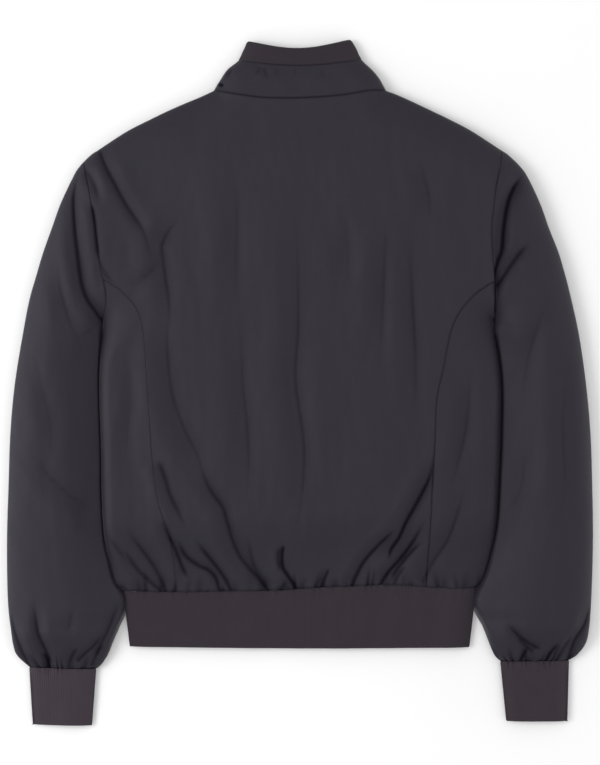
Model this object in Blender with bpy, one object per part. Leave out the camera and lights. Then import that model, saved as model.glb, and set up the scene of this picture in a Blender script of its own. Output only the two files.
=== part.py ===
"""A bomber jacket laid flat on its closed front, back up, with its sleeves beside the body.

Metres, +Z up, +Y towards the collar. The origin is the middle of the underside of the bounding box.
Every cloth piece is a wall of one thickness on a grid of surface points. The grids share their points
along each seam. Plan sizes below are in millimetres, with x from the middle and y from the middle.
"""

import math

import bmesh
import bpy
import numpy as np
from mathutils import Matrix

MM = 0.001
WALL = 2.0 * MM  # shell cloth, and the knit
SEAM_GAP = 0.3 * MM

# Heights above the surface that the jacket lies on
CROWN = 30.0 * MM  # top of the body and of the sleeves' upper parts
NECK_CROWN = 25.0 * MM  # top of the back at the neck seam
BAND_CROWN = 13.0 * MM  # top of the knit bands at hem and cuffs
EDGE_SHARE = 0.46  # where a folded edge lies, as a share of the crown above it
TOP_ROLL = 42.0 * MM  # width over which the upper layer rounds off to an edge
BODY_SIDE_ROLL = 26.0 * MM  # the same at the body's side edges, below the underarm
SLEEVE_SIDE_ROLL = 50.0 * MM  # the same at the sleeves' inner edges
SIDE_ROLL_CHANGE = (75.0 * MM, 20.0 * MM)  # the side's roll changes between these heights in Y
UNDER_ROLL = 18.0 * MM  # the same for the layer underneath
FRONT_RISE = 5.0 * MM  # the closed front rises this far at the collar, over the zip's slider
FRONT_RISE_WIDTH = (14.0 * MM, 60.0 * MM)  # whole to here, gone from there
FRONT_RISE_LENGTH = (285.0 * MM, 190.0 * MM)  # whole down to here, gone below there

# Plan of the outer edge: neck point, shoulder, sleeve, cuff seam. One row for each height.
OUTLINE = [  # y, left x, right x
    (339, -100, 100), (332, -115, 118), (318, -148, 148), (304, -177, 177), (291, -202, 201),
    (270, -234, 233), (263, -244, 243), (249, -257, 257), (235, -265, 266), (207, -278, 279),
    (179, -288, 289), (151, -298, 300), (124, -306, 308), (96, -314, 315), (54, -322, 324),
    (-2, -331, 332), (-57, -336, 337), (-113, -338, 339), (-183, -340, 340), (-252, -339, 338),
    (-290, -335, 335), (-305, -333, 331), (-317, -329, 322),
]
CUFF_SEAM = {-1: ((-315, -331), (-237, -333)), 1: ((313, -323), (233, -324))}  # outer end, inner end
CUFF_END = {-1: ((-311, -398), (-242, -399)), 1: ((311, -394), (240, -394))}
ARMHOLE = {  # x, y from the shoulder point to the underarm
    -1: [(-250, 257), (-247, 240), (-243, 222), (-240, 204), (-236, 180), (-233, 155), (-230, 132),
         (-227, 118), (-224, 97), (-228, 75)],
    1: [(233, 270), (231, 250), (226, 225), (223, 200), (221, 177), (222, 150), (224, 125), (225, 100),
        (224, 75)],
}
SIDE_EDGE = {  # x, y of the body's folded edge from the underarm to the hem seam
    -1: [(-228, 75), (-233, 3), (-231, -78), (-230, -140), (-227, -184), (-222, -208), (-217, -230), (-212, -238),
         (-206, -242)],
    1: [(224, 75), (233, 3), (233, -60), (231, -110), (228, -162), (224, -191), (218, -217), (213, -230),
        (205, -238)],
}
BACK_SEAM = {  # x, y of the seam between side panel and back, from the armhole to the hem seam
    -1: [(-226, 119), (-202, 102), (-183, 72), (-176, 3), (-172, -61), (-168, -107), (-162, -142),
         (-148, -188), (-143, -243)],
    1: [(224, 117), (198, 98), (177, 67), (165, 14), (158, -20), (156, -67), (153, -113), (151, -160),
        (146, -237)],
}
FRONT_SEAM = {  # the same between side panel and front, underneath
    -1: [(-227, 118), (-204, 90), (-194, 40), (-188, -60), (-180, -150), (-166, -242)],
    1: [(224, 117), (202, 88), (194, 40), (190, -60), (182, -150), (166, -239)],
}
SLEEVE_INNER = {  # x, y of the sleeve's inner folded edge from the underarm to the cuff seam
    -1: [(-228, 75), (-231, 62), (-235, 3), (-233, -78), (-232, -140), (-229, -184), (-224, -208),
         (-219, -232), (-209, -250), (-206, -272), (-217, -301), (-223, -316), (-231, -328), (-237, -333)],
    1: [(224, 75), (227, 62), (235, 3), (235, -60), (233, -110), (230, -162), (226, -191), (220, -217),
        (214, -237), (207, -252), (206, -266), (215, -290), (225, -315), (233, -324)],
}
HEM_SEAM = [(-206, -242), (-143, -243), (-84, -242), (-24, -241), (20, -238), (64, -236), (108, -235),
            (146, -237), (183, -241), (205, -238)]
HEM_END = [(-197, -307), (1, -309), (198, -308)]
NECK_SEAM = [(-100, 339), (-81, 335), (-57, 331), (-34, 329), (1, 329), (35, 331), (59, 334), (82, 338),
             (100, 339)]
FRONT_NECK = [(100, 339), (90, 312), (66, 287), (34, 272), (3.3, 268)]  # right side; mirrored for left
CENTRE_EDGE = 3.3 * MM  # the fronts end here beside the zip's chain
TAPE_EDGE = 17.5 * MM

# Sections of the collar above the neck seam
COLLAR = [  # left x, left y, right x, right y, dip of the back, y at the centre front, top height
    (-93, 351, 93, 352, 2, 282, 23),
    (-85, 363, 83, 364, 4, 294, 21),
    (-72, 374, 72, 375, 7, 306, 19),
    (-66, 386, 66, 387, 8, 318, 18),
    (-61, 397, 59, 399, 10, 329, 17),
]
STAND_SECTIONS = 3  # the rest belong to the knit edge
COLLAR_ROLL = 30.0 * MM

# Largest folds of the cloth: troughs along a line
FOLDS = [  # depth mm, half width mm, then x, y of the line's points
    (5.0, 11, [(-262, 208), (-257, 150), (-248, 102), (-236, 82)]),
    (4.0, 11, [(258, 240), (245, 200), (236, 150), (230, 118)]),
    (3.0, 10, [(-233, 270), (-207, 217), (-180, 174), (-166, 130)]),
    (4.0, 13, [(-158, 159), (-155, 96), (-148, -9), (-118, -84), (-83, -165), (-46, -229)]),
    (2.5, 12, [(-5, 188), (-3, 60), (2, -56), (-2, -148), (-9, -182)]),
    (4.0, 11, [(154, -96), (124, -157), (103, -198), (88, -226)]),
    (3.0, 10, [(-172, -78), (-148, -140), (-110, -200), (-82, -236)]),
]

# Grid steps between neighbouring seams
SHOULDER_STEPS = 5
NECK_STEPS = 12
ARMHOLE_STEPS = 8
SIDE_TOP_STEPS = 4
BODY_STEPS = 10
SLEEVE_STEPS = 13
HEM_STEPS = 3
CUFF_STEPS = 2

# Zip
CHAIN_WIDTH = 6.0 * MM
CHAIN_DEPTH = 2.2 * MM
TAPE_DEPTH = 0.8 * MM
SLIDER_Y = 318.0 * MM
SLIDER_SIZE = (8.5 * MM, 12.0 * MM, 1.0 * MM)
BRIDGE_SPAN = 7.4 * MM
BRIDGE_WIDTH = 1.8 * MM
BRIDGE_BAR = 0.8 * MM
BRIDGE_DROP = 2.8 * MM  # from the slider's plate to the outer face of the bridge's bar
PULL_AXIS = (0.0, SLIDER_Y - 1.8 * MM, 2.7 * MM)
PULL_BAR_RADIUS = 0.6 * MM
PULL_ARM_INNER = 1.3 * MM
PULL_WIDTH = 5.0 * MM
PULL_EYE = 9.0 * MM
PULL_LENGTH = 24.0 * MM

SHELL_COLOUR = (0.040, 0.036, 0.046, 1.0)
KNIT_COLOUR = (0.042, 0.034, 0.042, 1.0)
ZIP_COLOUR = (0.020, 0.019, 0.022, 1.0)
METAL_COLOUR = (0.10, 0.10, 0.11, 1.0)

LEFT, RIGHT = -1, 1
SIDE_NAME = {LEFT: "left", RIGHT: "right"}


def material(name, colour, roughness, metallic):
    made = bpy.data.materials.new(name)
    made.use_nodes = True
    shader = made.node_tree.nodes["Principled BSDF"]
    shader.inputs["Base Color"].default_value = colour
    shader.inputs["Roughness"].default_value = roughness
    shader.inputs["Metallic"].default_value = metallic
    return made


def smooth_step(x):
    x = np.clip(x, 0.0, 1.0)
    return x * x * (3.0 - 2.0 * x)


class Line:
    """A smooth plan curve through a few points, read by its share of the length."""

    def __init__(self, points, per_span=24):
        p = np.array(points, float) * MM
        ends = np.vstack([2 * p[0] - p[1], p, 2 * p[-1] - p[-2]])
        t = np.linspace(0.0, 1.0, per_span, endpoint=False)[:, None]
        spans = []
        for a, b, c, d in zip(ends[:-3], ends[1:-2], ends[2:-1], ends[3:]):
            spans.append(0.5 * (2 * b + (c - a) * t + (2 * a - 5 * b + 4 * c - d) * t**2
                                + (3 * b - a - 3 * c + d) * t**3))
        self.points = np.vstack([*spans, p[-1:]])
        steps = np.linalg.norm(np.diff(self.points, axis=0), axis=1)
        self.share = np.concatenate([[0.0], np.cumsum(steps)]) / steps.sum()

    def at(self, share):
        return np.stack([np.interp(share, self.share, self.points[:, k]) for k in (0, 1)], axis=-1)

    def share_at_y(self, y):
        return self.share[np.argmin(np.abs(self.points[:, 1] - y))]

    def distance(self, xy):
        """Distance of each plan point to the curve."""
        a, b = self.points[:-1], self.points[1:]
        ab = b - a
        ap = xy[:, None, :] - a[None]
        along = np.clip((ap * ab).sum(-1) / (ab * ab).sum(-1), 0.0, 1.0)
        return np.linalg.norm(ap - along[..., None] * ab, axis=-1).min(axis=1)


def outline(side):
    column = 1 if side == LEFT else 2
    return Line([(row[column], row[0]) for row in OUTLINE] + [CUFF_SEAM[side][0]])


OUTER = {side: outline(side) for side in (LEFT, RIGHT)}
ARM = {side: Line(ARMHOLE[side]) for side in (LEFT, RIGHT)}
EDGE = {side: Line(SIDE_EDGE[side]) for side in (LEFT, RIGHT)}
INNER = {side: Line(SLEEVE_INNER[side]) for side in (LEFT, RIGHT)}
FOLD_LINES = [(depth * MM, width * MM, Line(points)) for depth, width, points in FOLDS]


def roll(distance, width):
    """0 at a folded edge, 1 from the roll's width on, along a quarter of an ellipse."""
    c = 1.0 - np.clip(distance / width, 0.0, 1.0)
    return np.sqrt(np.maximum(0.0, 1.0 - c * c))


def crown(xy, is_sleeve):
    """Height of the upper layer away from its edges."""
    y = xy[:, 1]
    full = CROWN + (NECK_CROWN - CROWN) * smooth_step((y - 250 * MM) / (80 * MM))
    if is_sleeve:
        seam_y = np.where(xy[:, 0] < 0, CUFF_SEAM[LEFT][0][1], CUFF_SEAM[RIGHT][0][1]) * MM
        up = (y - seam_y) / (45 * MM)
    else:
        up = (y + 240 * MM) / (90 * MM)
    return BAND_CROWN + (full - BAND_CROWN) * smooth_step(up)


def front_rise(xy):
    whole, gone = FRONT_RISE_WIDTH
    across = smooth_step((gone - np.abs(xy[:, 0])) / (gone - whole))
    whole, gone = FRONT_RISE_LENGTH
    return FRONT_RISE * across * smooth_step((xy[:, 1] - gone) / (whole - gone))


def side_roll(y, is_sleeve):
    start, end = SIDE_ROLL_CHANGE
    changed = SLEEVE_SIDE_ROLL if is_sleeve else BODY_SIDE_ROLL
    return TOP_ROLL + (changed - TOP_ROLL) * smooth_step((start - y) / (start - end))


def raised(xy, is_top, is_sleeve):
    """Plan points to points of the outer surface, of the upper layer or of the one underneath."""
    shape = xy.shape[:-1]
    xy = xy.reshape(-1, 2)
    outer_width = TOP_ROLL if is_top else UNDER_ROLL
    side_width = side_roll(xy[:, 1], is_sleeve) if is_top else UNDER_ROLL
    full = np.ones(len(xy))
    for side in (LEFT, RIGHT):
        edge = INNER[side] if is_sleeve else EDGE[side]
        full *= roll(OUTER[side].distance(xy), outer_width) * roll(edge.distance(xy), side_width)
    height = crown(xy, is_sleeve)
    edge_height = EDGE_SHARE * height
    if is_top:
        z = edge_height + (height - edge_height) * full
        fading = full * (height - BAND_CROWN) / (CROWN - BAND_CROWN)
        for depth, half_width, line in FOLD_LINES:
            z -= depth * fading * np.exp(-((line.distance(xy) / half_width) ** 2))
    else:
        z = edge_height * (1.0 - full) + front_rise(xy) * full
    return np.column_stack([xy, z]).reshape(*shape, 3)


def eased(steps, power):
    """Shares from 0 to 1, closer together near 0."""
    return (np.arange(steps + 1) / steps) ** power


def coons(bottom, top, left, right):
    """Plan grid between four boundary rows that share their corners, spaced as the bottom and left are."""
    u = ((bottom[:, 0] - bottom[0, 0]) / (bottom[-1, 0] - bottom[0, 0]))[:, None, None]
    v = ((left[:, 1] - left[0, 1]) / (left[-1, 1] - left[0, 1]))[None, :, None]
    corners = ((1 - u) * (1 - v) * bottom[0] + u * (1 - v) * bottom[-1]
               + (1 - u) * v * top[0] + u * v * top[-1])
    return ((1 - v) * bottom[:, None] + v * top[:, None] + (1 - u) * left[None] + u * right[None]
            - corners)


def armhole_shares(side):
    """Shares along the armhole from the shoulder: down to the side panel's seam, and on to the underarm."""
    seam = ARM[side].share_at_y(BACK_SEAM[side][0][1] * MM)
    upper = seam * eased(ARMHOLE_STEPS, 1.5)
    lower = 1.0 - (1.0 - seam) * eased(SIDE_TOP_STEPS, 1.6)[::-1]
    return upper, lower


def body_rows():
    """Shares from the hem to the armhole, closer together near the underarm."""
    return 1.0 - eased(BODY_STEPS, 1.5)[::-1]


def side_boundary(side, seam_points):
    """Hem to shoulder point along a side panel's seam and the armhole above it."""
    upper, _ = armhole_shares(side)
    arm = ARM[side].at(upper)[::-1]
    seam = Line(seam_points).at(1.0 - body_rows())
    seam[-1] = arm[0]
    return np.vstack([seam, arm[1:]])


def across_shares():
    """Shares of the body's width at the shoulder and neck nodes."""
    slope = np.linspace(0.0, 0.28, SHOULDER_STEPS + 1)
    neck = np.linspace(0.28, 0.72, NECK_STEPS + 1)
    return np.concatenate([slope, neck[1:], 1.0 - slope[::-1][1:]])


def shoulder_row(side):
    """Shoulder point to neck point, on the outer edge."""
    end = OUTER[side].share_at_y(ARMHOLE[side][0][1] * MM)
    row = OUTER[side].at(np.linspace(end, 0.0, SHOULDER_STEPS + 1))
    row[0] = ARM[side].at(0.0)
    return row


def back_plan():
    left = side_boundary(LEFT, BACK_SEAM[LEFT])
    right = side_boundary(RIGHT, BACK_SEAM[RIGHT])
    neck = Line(NECK_SEAM).at(np.linspace(0.0, 1.0, NECK_STEPS + 1))
    top = np.vstack([shoulder_row(LEFT), neck[1:-1], shoulder_row(RIGHT)[::-1]])
    hem_line = Line(HEM_SEAM)
    x = left[0][0] + (right[0][0] - left[0][0]) * across_shares()
    hem = np.column_stack([x, np.interp(x, hem_line.points[:, 0], hem_line.points[:, 1])])
    left[0], right[0] = hem[0], hem[-1]
    return coons(hem, top, left, right)


def front_plan(side):
    """Grid from the side panel's seam (first column) to the centre front."""
    outer = side_boundary(side, FRONT_SEAM[side])
    half_neck = NECK_STEPS // 2
    neck = Line([(x * side, y) for x, y in FRONT_NECK]).at(np.linspace(0.0, 1.0, half_neck + 1))
    top = np.vstack([shoulder_row(side), neck[1:]])
    shares = across_shares()[:SHOULDER_STEPS + half_neck + 1] * 2.0
    hem_line = Line(HEM_SEAM)
    x = outer[0][0] + (side * CENTRE_EDGE - outer[0][0]) * shares
    hem = np.column_stack([x, np.interp(x, hem_line.points[:, 0], hem_line.points[:, 1])])
    outer[0] = hem[0]
    rise = (outer[:, 1:] - outer[0, 1]) / (outer[-1, 1] - outer[0, 1])
    centre = hem[-1] + (top[-1] - hem[-1]) * rise
    plan = coons(hem, top, outer, centre)
    plan[-2, :, 0] = side * TAPE_EDGE
    return plan


def side_plan(side, back_column, front_column):
    """Two plan grids, hem to armhole: back seam to folded edge, and edge to front seam."""
    rows = BODY_STEPS + 1
    edge = EDGE[side].at(1.0 - body_rows())
    _, lower = armhole_shares(side)
    arm = ARM[side].at(lower)
    shares = eased(SIDE_TOP_STEPS, 1.6)[::-1]
    grids = []
    for seam in (back_column[:rows], front_column[:rows]):
        grid = edge[None] + (seam - edge)[None] * shares[:, None, None]
        rise = body_rows()[None, :, None] ** 6
        grid += rise * (arm - grid[:, -1])[:, None]
        grids.append(grid)
    return grids[0], grids[1][::-1]


def sleeve_plan(side):
    """Plan grid: columns from the outer edge to the inner one, rings from the armhole to the cuff."""
    upper, lower = armhole_shares(side)
    shares = np.concatenate([upper, lower[1:]])
    first = ARM[side].at(shares)
    chord = first[0] + (first[-1] - first[0]) * shares[:, None]
    ring = eased(SLEEVE_STEPS, 1.3)
    start = OUTER[side].share_at_y(ARMHOLE[side][0][1] * MM)
    outer = OUTER[side].at(start + (1.0 - start) * ring)
    inner = INNER[side].at(ring**1.25)
    outer[0], inner[0] = first[0], first[-1]
    grid = outer[None] + (inner - outer)[None] * shares[:, None, None]
    return grid + ((1.0 - ring) ** 3)[None, :, None] * (first - chord)[:, None]


def collar_ring(row, back_shares, front_shares):
    """One section of the collar: left centre front, left edge, back, right edge, right centre front."""
    left_x, left_y, right_x, right_y, dip, front_y, top_z = (value * MM for value in row)
    width = right_x - left_x
    edge_z = EDGE_SHARE * top_z
    across = np.asarray(back_shares)
    from_edge = np.minimum(across, 1.0 - across) * width
    x = left_x + width * across
    y = left_y + (right_y - left_y) * across - dip * np.sin(math.pi * across)
    back = np.column_stack([x, y, edge_z + (top_z - edge_z) * roll(from_edge, COLLAR_ROLL)])
    halves = []
    for side, edge_x, edge_y in ((LEFT, left_x, left_y), (RIGHT, right_x, right_y)):
        s = np.asarray(front_shares)
        x = edge_x + (side * CENTRE_EDGE - edge_x) * s
        x[-2] = side * TAPE_EDGE
        y = edge_y + (front_y - edge_y) * smooth_step(s)
        full = roll(np.abs(x - edge_x), UNDER_ROLL)
        z = edge_z * (1.0 - full) + front_rise(np.column_stack([x, y])) * full
        halves.append(np.column_stack([x, y, z]))
    return np.vstack([halves[0][::-1], back[1:-1], halves[1]])


def band(ring, left_x, right_x, end_line, steps, shrink):
    """Rings of a knit band from a seam's ring to an end line, given as y over x."""
    first, last = ring[:, 0].min(), ring[:, 0].max()
    end_x = left_x + (ring[:, 0] - first) * (right_x - left_x) / (last - first)
    centre = np.abs(ring[:, 0]) <= TAPE_EDGE + 0.1 * MM
    end_x[centre] = ring[centre, 0]
    end = np.column_stack([end_x, end_line(end_x), ring[:, 2] * shrink])
    share = np.linspace(0.0, 1.0, steps + 1)[None, :, None]
    return ring[:, None] * (1.0 - share) + end[:, None] * share


def patches():
    """Every cloth piece as a grid of outer surface points, with its seams' points shared."""
    found = {}
    back = back_plan()
    found["back"] = raised(back, True, False)
    hem_parts, neck_parts = {}, {}
    for side in (LEFT, RIGHT):
        name = SIDE_NAME[side]
        front = front_plan(side)
        found["front_" + name] = raised(front, False, False)
        back_column = back[0] if side == LEFT else back[-1]
        top, under = side_plan(side, back_column, front[0])
        top = raised(top, True, False)
        under = raised(under, False, False)
        panel = np.vstack([top, under[1:]])
        found["side_panel_" + name] = panel
        plan = sleeve_plan(side)
        upper = raised(plan, True, True)
        lower = raised(plan, False, True)
        rings = np.vstack([upper, lower[-2:0:-1]])
        share_seams(found, name, side, rings)
        found["sleeve_" + name] = rings
        found["cuff_" + name] = cuff(side, rings[:, -1])
        under_hem = np.vstack([panel[:, 0], found["front_" + name][1:, 0]])
        hem_parts[side] = under_hem
        neck_parts[side] = found["front_" + name][SHOULDER_STEPS:, -1]
    hem = np.vstack([hem_parts[LEFT][::-1], found["back"][1:-1, 0], hem_parts[RIGHT]])
    end = Line(HEM_END)
    found["hem_rib"] = band(hem, HEM_END[0][0] * MM, HEM_END[-1][0] * MM,
                            lambda x: np.interp(x, end.points[:, 0], end.points[:, 1]), HEM_STEPS, 0.92)
    neck = found["back"][SHOULDER_STEPS:-SHOULDER_STEPS, -1]
    ring = np.vstack([neck_parts[LEFT][::-1], neck[1:-1], neck_parts[RIGHT]])
    back_shares = np.linspace(0.0, 1.0, NECK_STEPS + 1)
    front_shares = np.linspace(0.0, 1.0, NECK_STEPS // 2 + 1)
    rings = [ring] + [collar_ring(row, back_shares, front_shares) for row in COLLAR]
    found["collar_stand"] = np.stack(rings[:STAND_SECTIONS + 1], axis=1)
    found["collar_rib"] = np.stack(rings[STAND_SECTIONS:], axis=1)
    return found


def share_seams(found, name, side, rings):
    """The sleeve's first ring takes the exact points of the body's pieces around the armhole."""
    back = found["back"][0 if side == LEFT else -1]
    panel = found["side_panel_" + name][:, -1]
    front = found["front_" + name][0]
    upper = back[BODY_STEPS:][::-1]
    lower = front[BODY_STEPS:]
    rings[:, 0] = np.vstack([upper, panel[1:-1], lower[:-1]])


def cuff(side, ring):
    seam_outer, seam_inner = CUFF_SEAM[side]
    end_outer, end_inner = CUFF_END[side]
    share = (ring[:, 0] / MM - seam_outer[0]) / (seam_inner[0] - seam_outer[0])
    x = (end_outer[0] + (end_inner[0] - end_outer[0]) * share) * MM
    y = (end_outer[1] + (end_inner[1] - end_outer[1]) * share) * MM
    end = np.column_stack([x, y, ring[:, 2] * 0.92])
    along = np.linspace(0.0, 1.0, CUFF_STEPS + 1)[None, :, None]
    return ring[:, None] * (1.0 - along) + end[:, None] * along


TUBES = ("sleeve_left", "sleeve_right", "cuff_left", "cuff_right")


def quads(columns, rows, closed):
    found = []
    for i in range(columns if closed else columns - 1):
        for j in range(rows - 1):
            found.append((i * rows + j, (i + 1) % columns * rows + j,
                          (i + 1) % columns * rows + j + 1, i * rows + j + 1))
    return found


def seam_normals(grids):
    """Outward normals at every grid point, the same for pieces that share the point.

    At the underarm, between sleeve and side, the cloth faces the hem.
    """
    sums = {}
    keys = {}
    for name, grid in grids.items():
        columns, rows = grid.shape[:2]
        points = grid.reshape(-1, 3)
        keys[name] = [tuple(key) for key in np.round(points / (0.01 * MM)).astype(int)]
        for face in quads(columns, rows, name in TUBES):
            a, b, c, d = (points[k] for k in face)
            normal = np.cross(c - a, d - b) * FACING[name]
            for k in face:
                sums[keys[name][k]] = sums.get(keys[name][k], 0.0) + normal
    for side in (LEFT, RIGHT):
        underarm = grids["sleeve_" + SIDE_NAME[side]][ARMHOLE_STEPS + SIDE_TOP_STEPS, 0]
        sums[tuple(np.round(underarm / (0.01 * MM)).astype(int))] = np.array([0.0, -1.0, 0.0])
    return {name: np.array([sums[key] / np.linalg.norm(sums[key]) for key in keys[name]])
            .reshape(grids[name].shape) for name in grids}


FACING = {  # 1 where columns x rows already gives the outward side
    "back": 1, "front_left": -1, "front_right": 1, "side_panel_left": -1, "side_panel_right": 1,
    "sleeve_left": -1, "sleeve_right": 1, "cuff_left": -1, "cuff_right": 1,
    "hem_rib": -1, "collar_stand": 1, "collar_rib": 1,
}


def trimmed(grid, normals, closed):
    """The grid with its edges drawn in by half a seam's gap, square to the seam."""
    moved = grid.copy()
    picks = [((slice(None), 0), (slice(None), 1), closed), ((slice(None), -1), (slice(None), -2), closed)]
    if not closed:
        picks += [((0,), (1,), False), ((-1,), (-2,), False)]
    for edge, inside, is_loop in picks:
        line = grid[edge]
        if is_loop:
            along = np.roll(line, -1, axis=0) - np.roll(line, 1, axis=0)
        else:
            along = np.gradient(line, axis=0)
        square = np.cross(normals[edge], along)
        square /= np.linalg.norm(square, axis=-1, keepdims=True)
        inward = np.sign((square * (grid[inside] - line)).sum())
        moved[edge] += square * inward * SEAM_GAP / 2
    return moved


def wall(name, grid, normals, closed, facing, shade, depth=WALL):
    """A closed wall: the grid, its copy moved inward, and the rims between them.

    Each rim's diagonal follows the order of its points' places, so that neighbours' rims stay parallel.
    """
    columns, rows = grid.shape[:2]
    outer = trimmed(grid, normals, closed)
    inner = outer - normals * depth
    count = columns * rows
    points = np.vstack([outer.reshape(-1, 3), inner.reshape(-1, 3)])
    faces = quads(columns, rows, closed)
    around = [(i, 0) for i in range(columns)], [(i, rows - 1) for i in range(columns)][::-1]
    if closed:
        loops = [loop + loop[:1] for loop in around]
    else:
        loops = [around[0] + [(columns - 1, j) for j in range(1, rows)] + around[1][1:]
                 + [(0, j) for j in range(rows - 2, -1, -1)]]
    rims = []
    for loop in loops:
        for (i, j), (k, m) in zip(loop, loop[1:]):
            a, b = i * rows + j, k * rows + m
            if tuple(grid[i, j]) < tuple(grid[k, m]):
                rims += [(b, a, b + count), (a, a + count, b + count)]
            else:
                rims += [(b, a, a + count), (b, a + count, b + count)]
    faces = faces + [tuple(k + count for k in face[::-1]) for face in faces] + rims
    if facing < 0:
        faces = [face[::-1] for face in faces]
    return solid(name, points, faces, shade)


def solid(name, points, faces, shade):
    mesh = bpy.data.meshes.new(name)
    mesh.from_pydata([tuple(point) for point in points], [], faces)
    mesh.materials.append(shade)
    mesh.shade_smooth()
    made = bpy.data.objects.new(name, mesh)
    bpy.context.collection.objects.link(made)
    return made


def zip_columns(grids, normals, side):
    """The front's last two columns, from the hem's end to the collar's, and their normals."""
    name = "front_" + SIDE_NAME[side]
    end = 0 if side == LEFT else -1
    beside = 1 if side == LEFT else -2
    found = []
    for source in (grids, normals):
        hem = np.stack([source["hem_rib"][beside, ::-1], source["hem_rib"][end, ::-1]])
        front = source[name][-2:]
        stand = np.stack([source["collar_stand"][beside], source["collar_stand"][end]])
        rib = np.stack([source["collar_rib"][beside], source["collar_rib"][end]])
        found.append(np.concatenate([hem, front[:, 1:], stand[:, 1:], rib[:, 1:]], axis=1))
    return found


def zip_pieces(grids, normals, shade):
    chain_edge = None
    for side in (LEFT, RIGHT):
        points, outward = zip_columns(grids, normals, side)
        tape = points - outward * (WALL + SEAM_GAP)
        wall("zip_tape_" + SIDE_NAME[side], tape, outward, False, FACING["front_" + SIDE_NAME[side]],
             shade, TAPE_DEPTH)
        chain_edge = points[1]
    split = np.flatnonzero(chain_edge[:, 1] < FRONT_RISE_LENGTH[1])[-1]
    half = CHAIN_WIDTH / 2
    for name, run in (("zip_chain_lower", chain_edge[:split + 1]), ("zip_chain_upper", chain_edge[split:])):
        strip = np.stack([run * (0, 1, 1) + (x, 0, 0) for x in (-half, half)])
        down = np.zeros_like(strip)
        down[..., 2] = -1.0
        wall(name, strip, down, False, -1, shade, CHAIN_DEPTH)


def box(size, centre):
    """Eight corners and six faces of a box."""
    half = np.array(size) / 2
    points = [np.array(centre) + half * (x, y, z) for x in (-1, 1) for y in (-1, 1) for z in (-1, 1)]
    faces = [(0, 1, 3, 2), (4, 6, 7, 5), (0, 4, 5, 1), (2, 3, 7, 6), (0, 2, 6, 4), (1, 5, 7, 3)]
    return points, faces


def joined(name, boxes, shade):
    """Boxes that overlap, united into one body."""
    first = None
    for k, (size, centre) in enumerate(boxes):
        points, faces = box(size, centre)
        piece = solid(name if k == 0 else f"{name}_cutter_{k}", points, faces, shade)
        if k == 0:
            first = piece
            continue
        piece.hide_render = True
        piece.display_type = "WIRE"
        union = first.modifiers.new(f"Join {k}", "BOOLEAN")
        union.operation = "UNION"
        union.object = piece
    first.data.shade_flat()
    return first


def slider(chain_bottom, shade):
    """Plate against the chain's outer face, with the bridge that holds the pull tab."""
    width, length, depth = SLIDER_SIZE
    plate_z = chain_bottom - SEAM_GAP - depth / 2
    leg = BRIDGE_BAR * 1.5
    plate_bottom = plate_z - depth / 2
    leg_z = plate_bottom - BRIDGE_DROP / 2 + depth / 4
    leg_height = BRIDGE_DROP + depth / 2
    bar_z = plate_bottom - BRIDGE_DROP + BRIDGE_BAR / 2
    legs = [((BRIDGE_WIDTH, leg, leg_height), (0, SLIDER_Y + sign * (BRIDGE_SPAN + leg) / 2, leg_z))
            for sign in (-1, 1)]
    bar = ((BRIDGE_WIDTH, BRIDGE_SPAN + leg, BRIDGE_BAR), (0, SLIDER_Y, bar_z))
    return joined("zip_slider", [((width, length, depth), (0, SLIDER_Y, plate_z)), *legs, bar], shade)


def pull_tab(shade):
    """Tab with an eye around the bridge. Its origin is on its hinge axis."""
    thick = 2 * PULL_BAR_RADIUS
    arm_width = PULL_WIDTH / 2 - PULL_ARM_INNER
    arm_x = (PULL_WIDTH / 2 + PULL_ARM_INNER) / 2
    arms = [((arm_width, PULL_EYE, thick * 0.8), (sign * arm_x, -PULL_EYE / 2, 0)) for sign in (-1, 1)]
    plate = ((PULL_WIDTH, PULL_LENGTH - PULL_EYE + thick, thick * 0.8),
             (0, -(PULL_LENGTH + PULL_EYE - thick) / 2, 0))
    made = joined("zip_pull", [plate, *arms], shade)
    bar_mesh = bpy.data.meshes.new("zip_pull_cutter_bar")
    work = bmesh.new()
    bmesh.ops.create_cone(work, cap_ends=True, segments=12, radius1=PULL_BAR_RADIUS,
                          radius2=PULL_BAR_RADIUS, depth=PULL_WIDTH - 0.2 * MM,
                          matrix=Matrix.Rotation(math.pi / 2, 4, "Y"))
    work.to_mesh(bar_mesh)
    work.free()
    bar = bpy.data.objects.new("zip_pull_cutter_bar", bar_mesh)
    bpy.context.collection.objects.link(bar)
    bar.hide_render = True
    bar.display_type = "WIRE"
    union = made.modifiers.new("Join bar", "BOOLEAN")
    union.operation = "UNION"
    union.object = bar
    for piece in [made, bar] + [m.object for m in made.modifiers if m.object is not bar]:
        piece.location = PULL_AXIS
    return made


def main():
    for old in list(bpy.data.objects):
        bpy.data.objects.remove(old, do_unlink=True)
    shades = {
        "shell": material("shell", SHELL_COLOUR, 0.75, 0.0),
        "knit": material("knit", KNIT_COLOUR, 0.9, 0.0),
        "zip": material("zip", ZIP_COLOUR, 0.6, 0.0),
        "metal": material("metal", METAL_COLOUR, 0.4, 1.0),
    }
    grids = patches()
    normals = seam_normals(grids)
    for name, grid in grids.items():
        is_knit = "rib" in name or "cuff" in name
        wall(name, grid, normals[name], name in TUBES, FACING[name], shades["knit" if is_knit else "shell"])
    zip_pieces(grids, normals, shades["zip"])
    slider(FRONT_RISE, shades["metal"])
    pull_tab(shades["metal"])


main()
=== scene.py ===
"""A bomber jacket laid flat, back up: fine cloth shells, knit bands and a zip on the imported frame.

Metres, +Z up, +Y towards the collar. Plan sizes in the tables are in millimetres from the frame's origin.
Each cloth piece is a grid of outer points with an inner side and rims. Neighbours share their seam points.
"""

import math
import random

import bpy
import numpy as np
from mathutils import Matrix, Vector, noise


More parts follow.
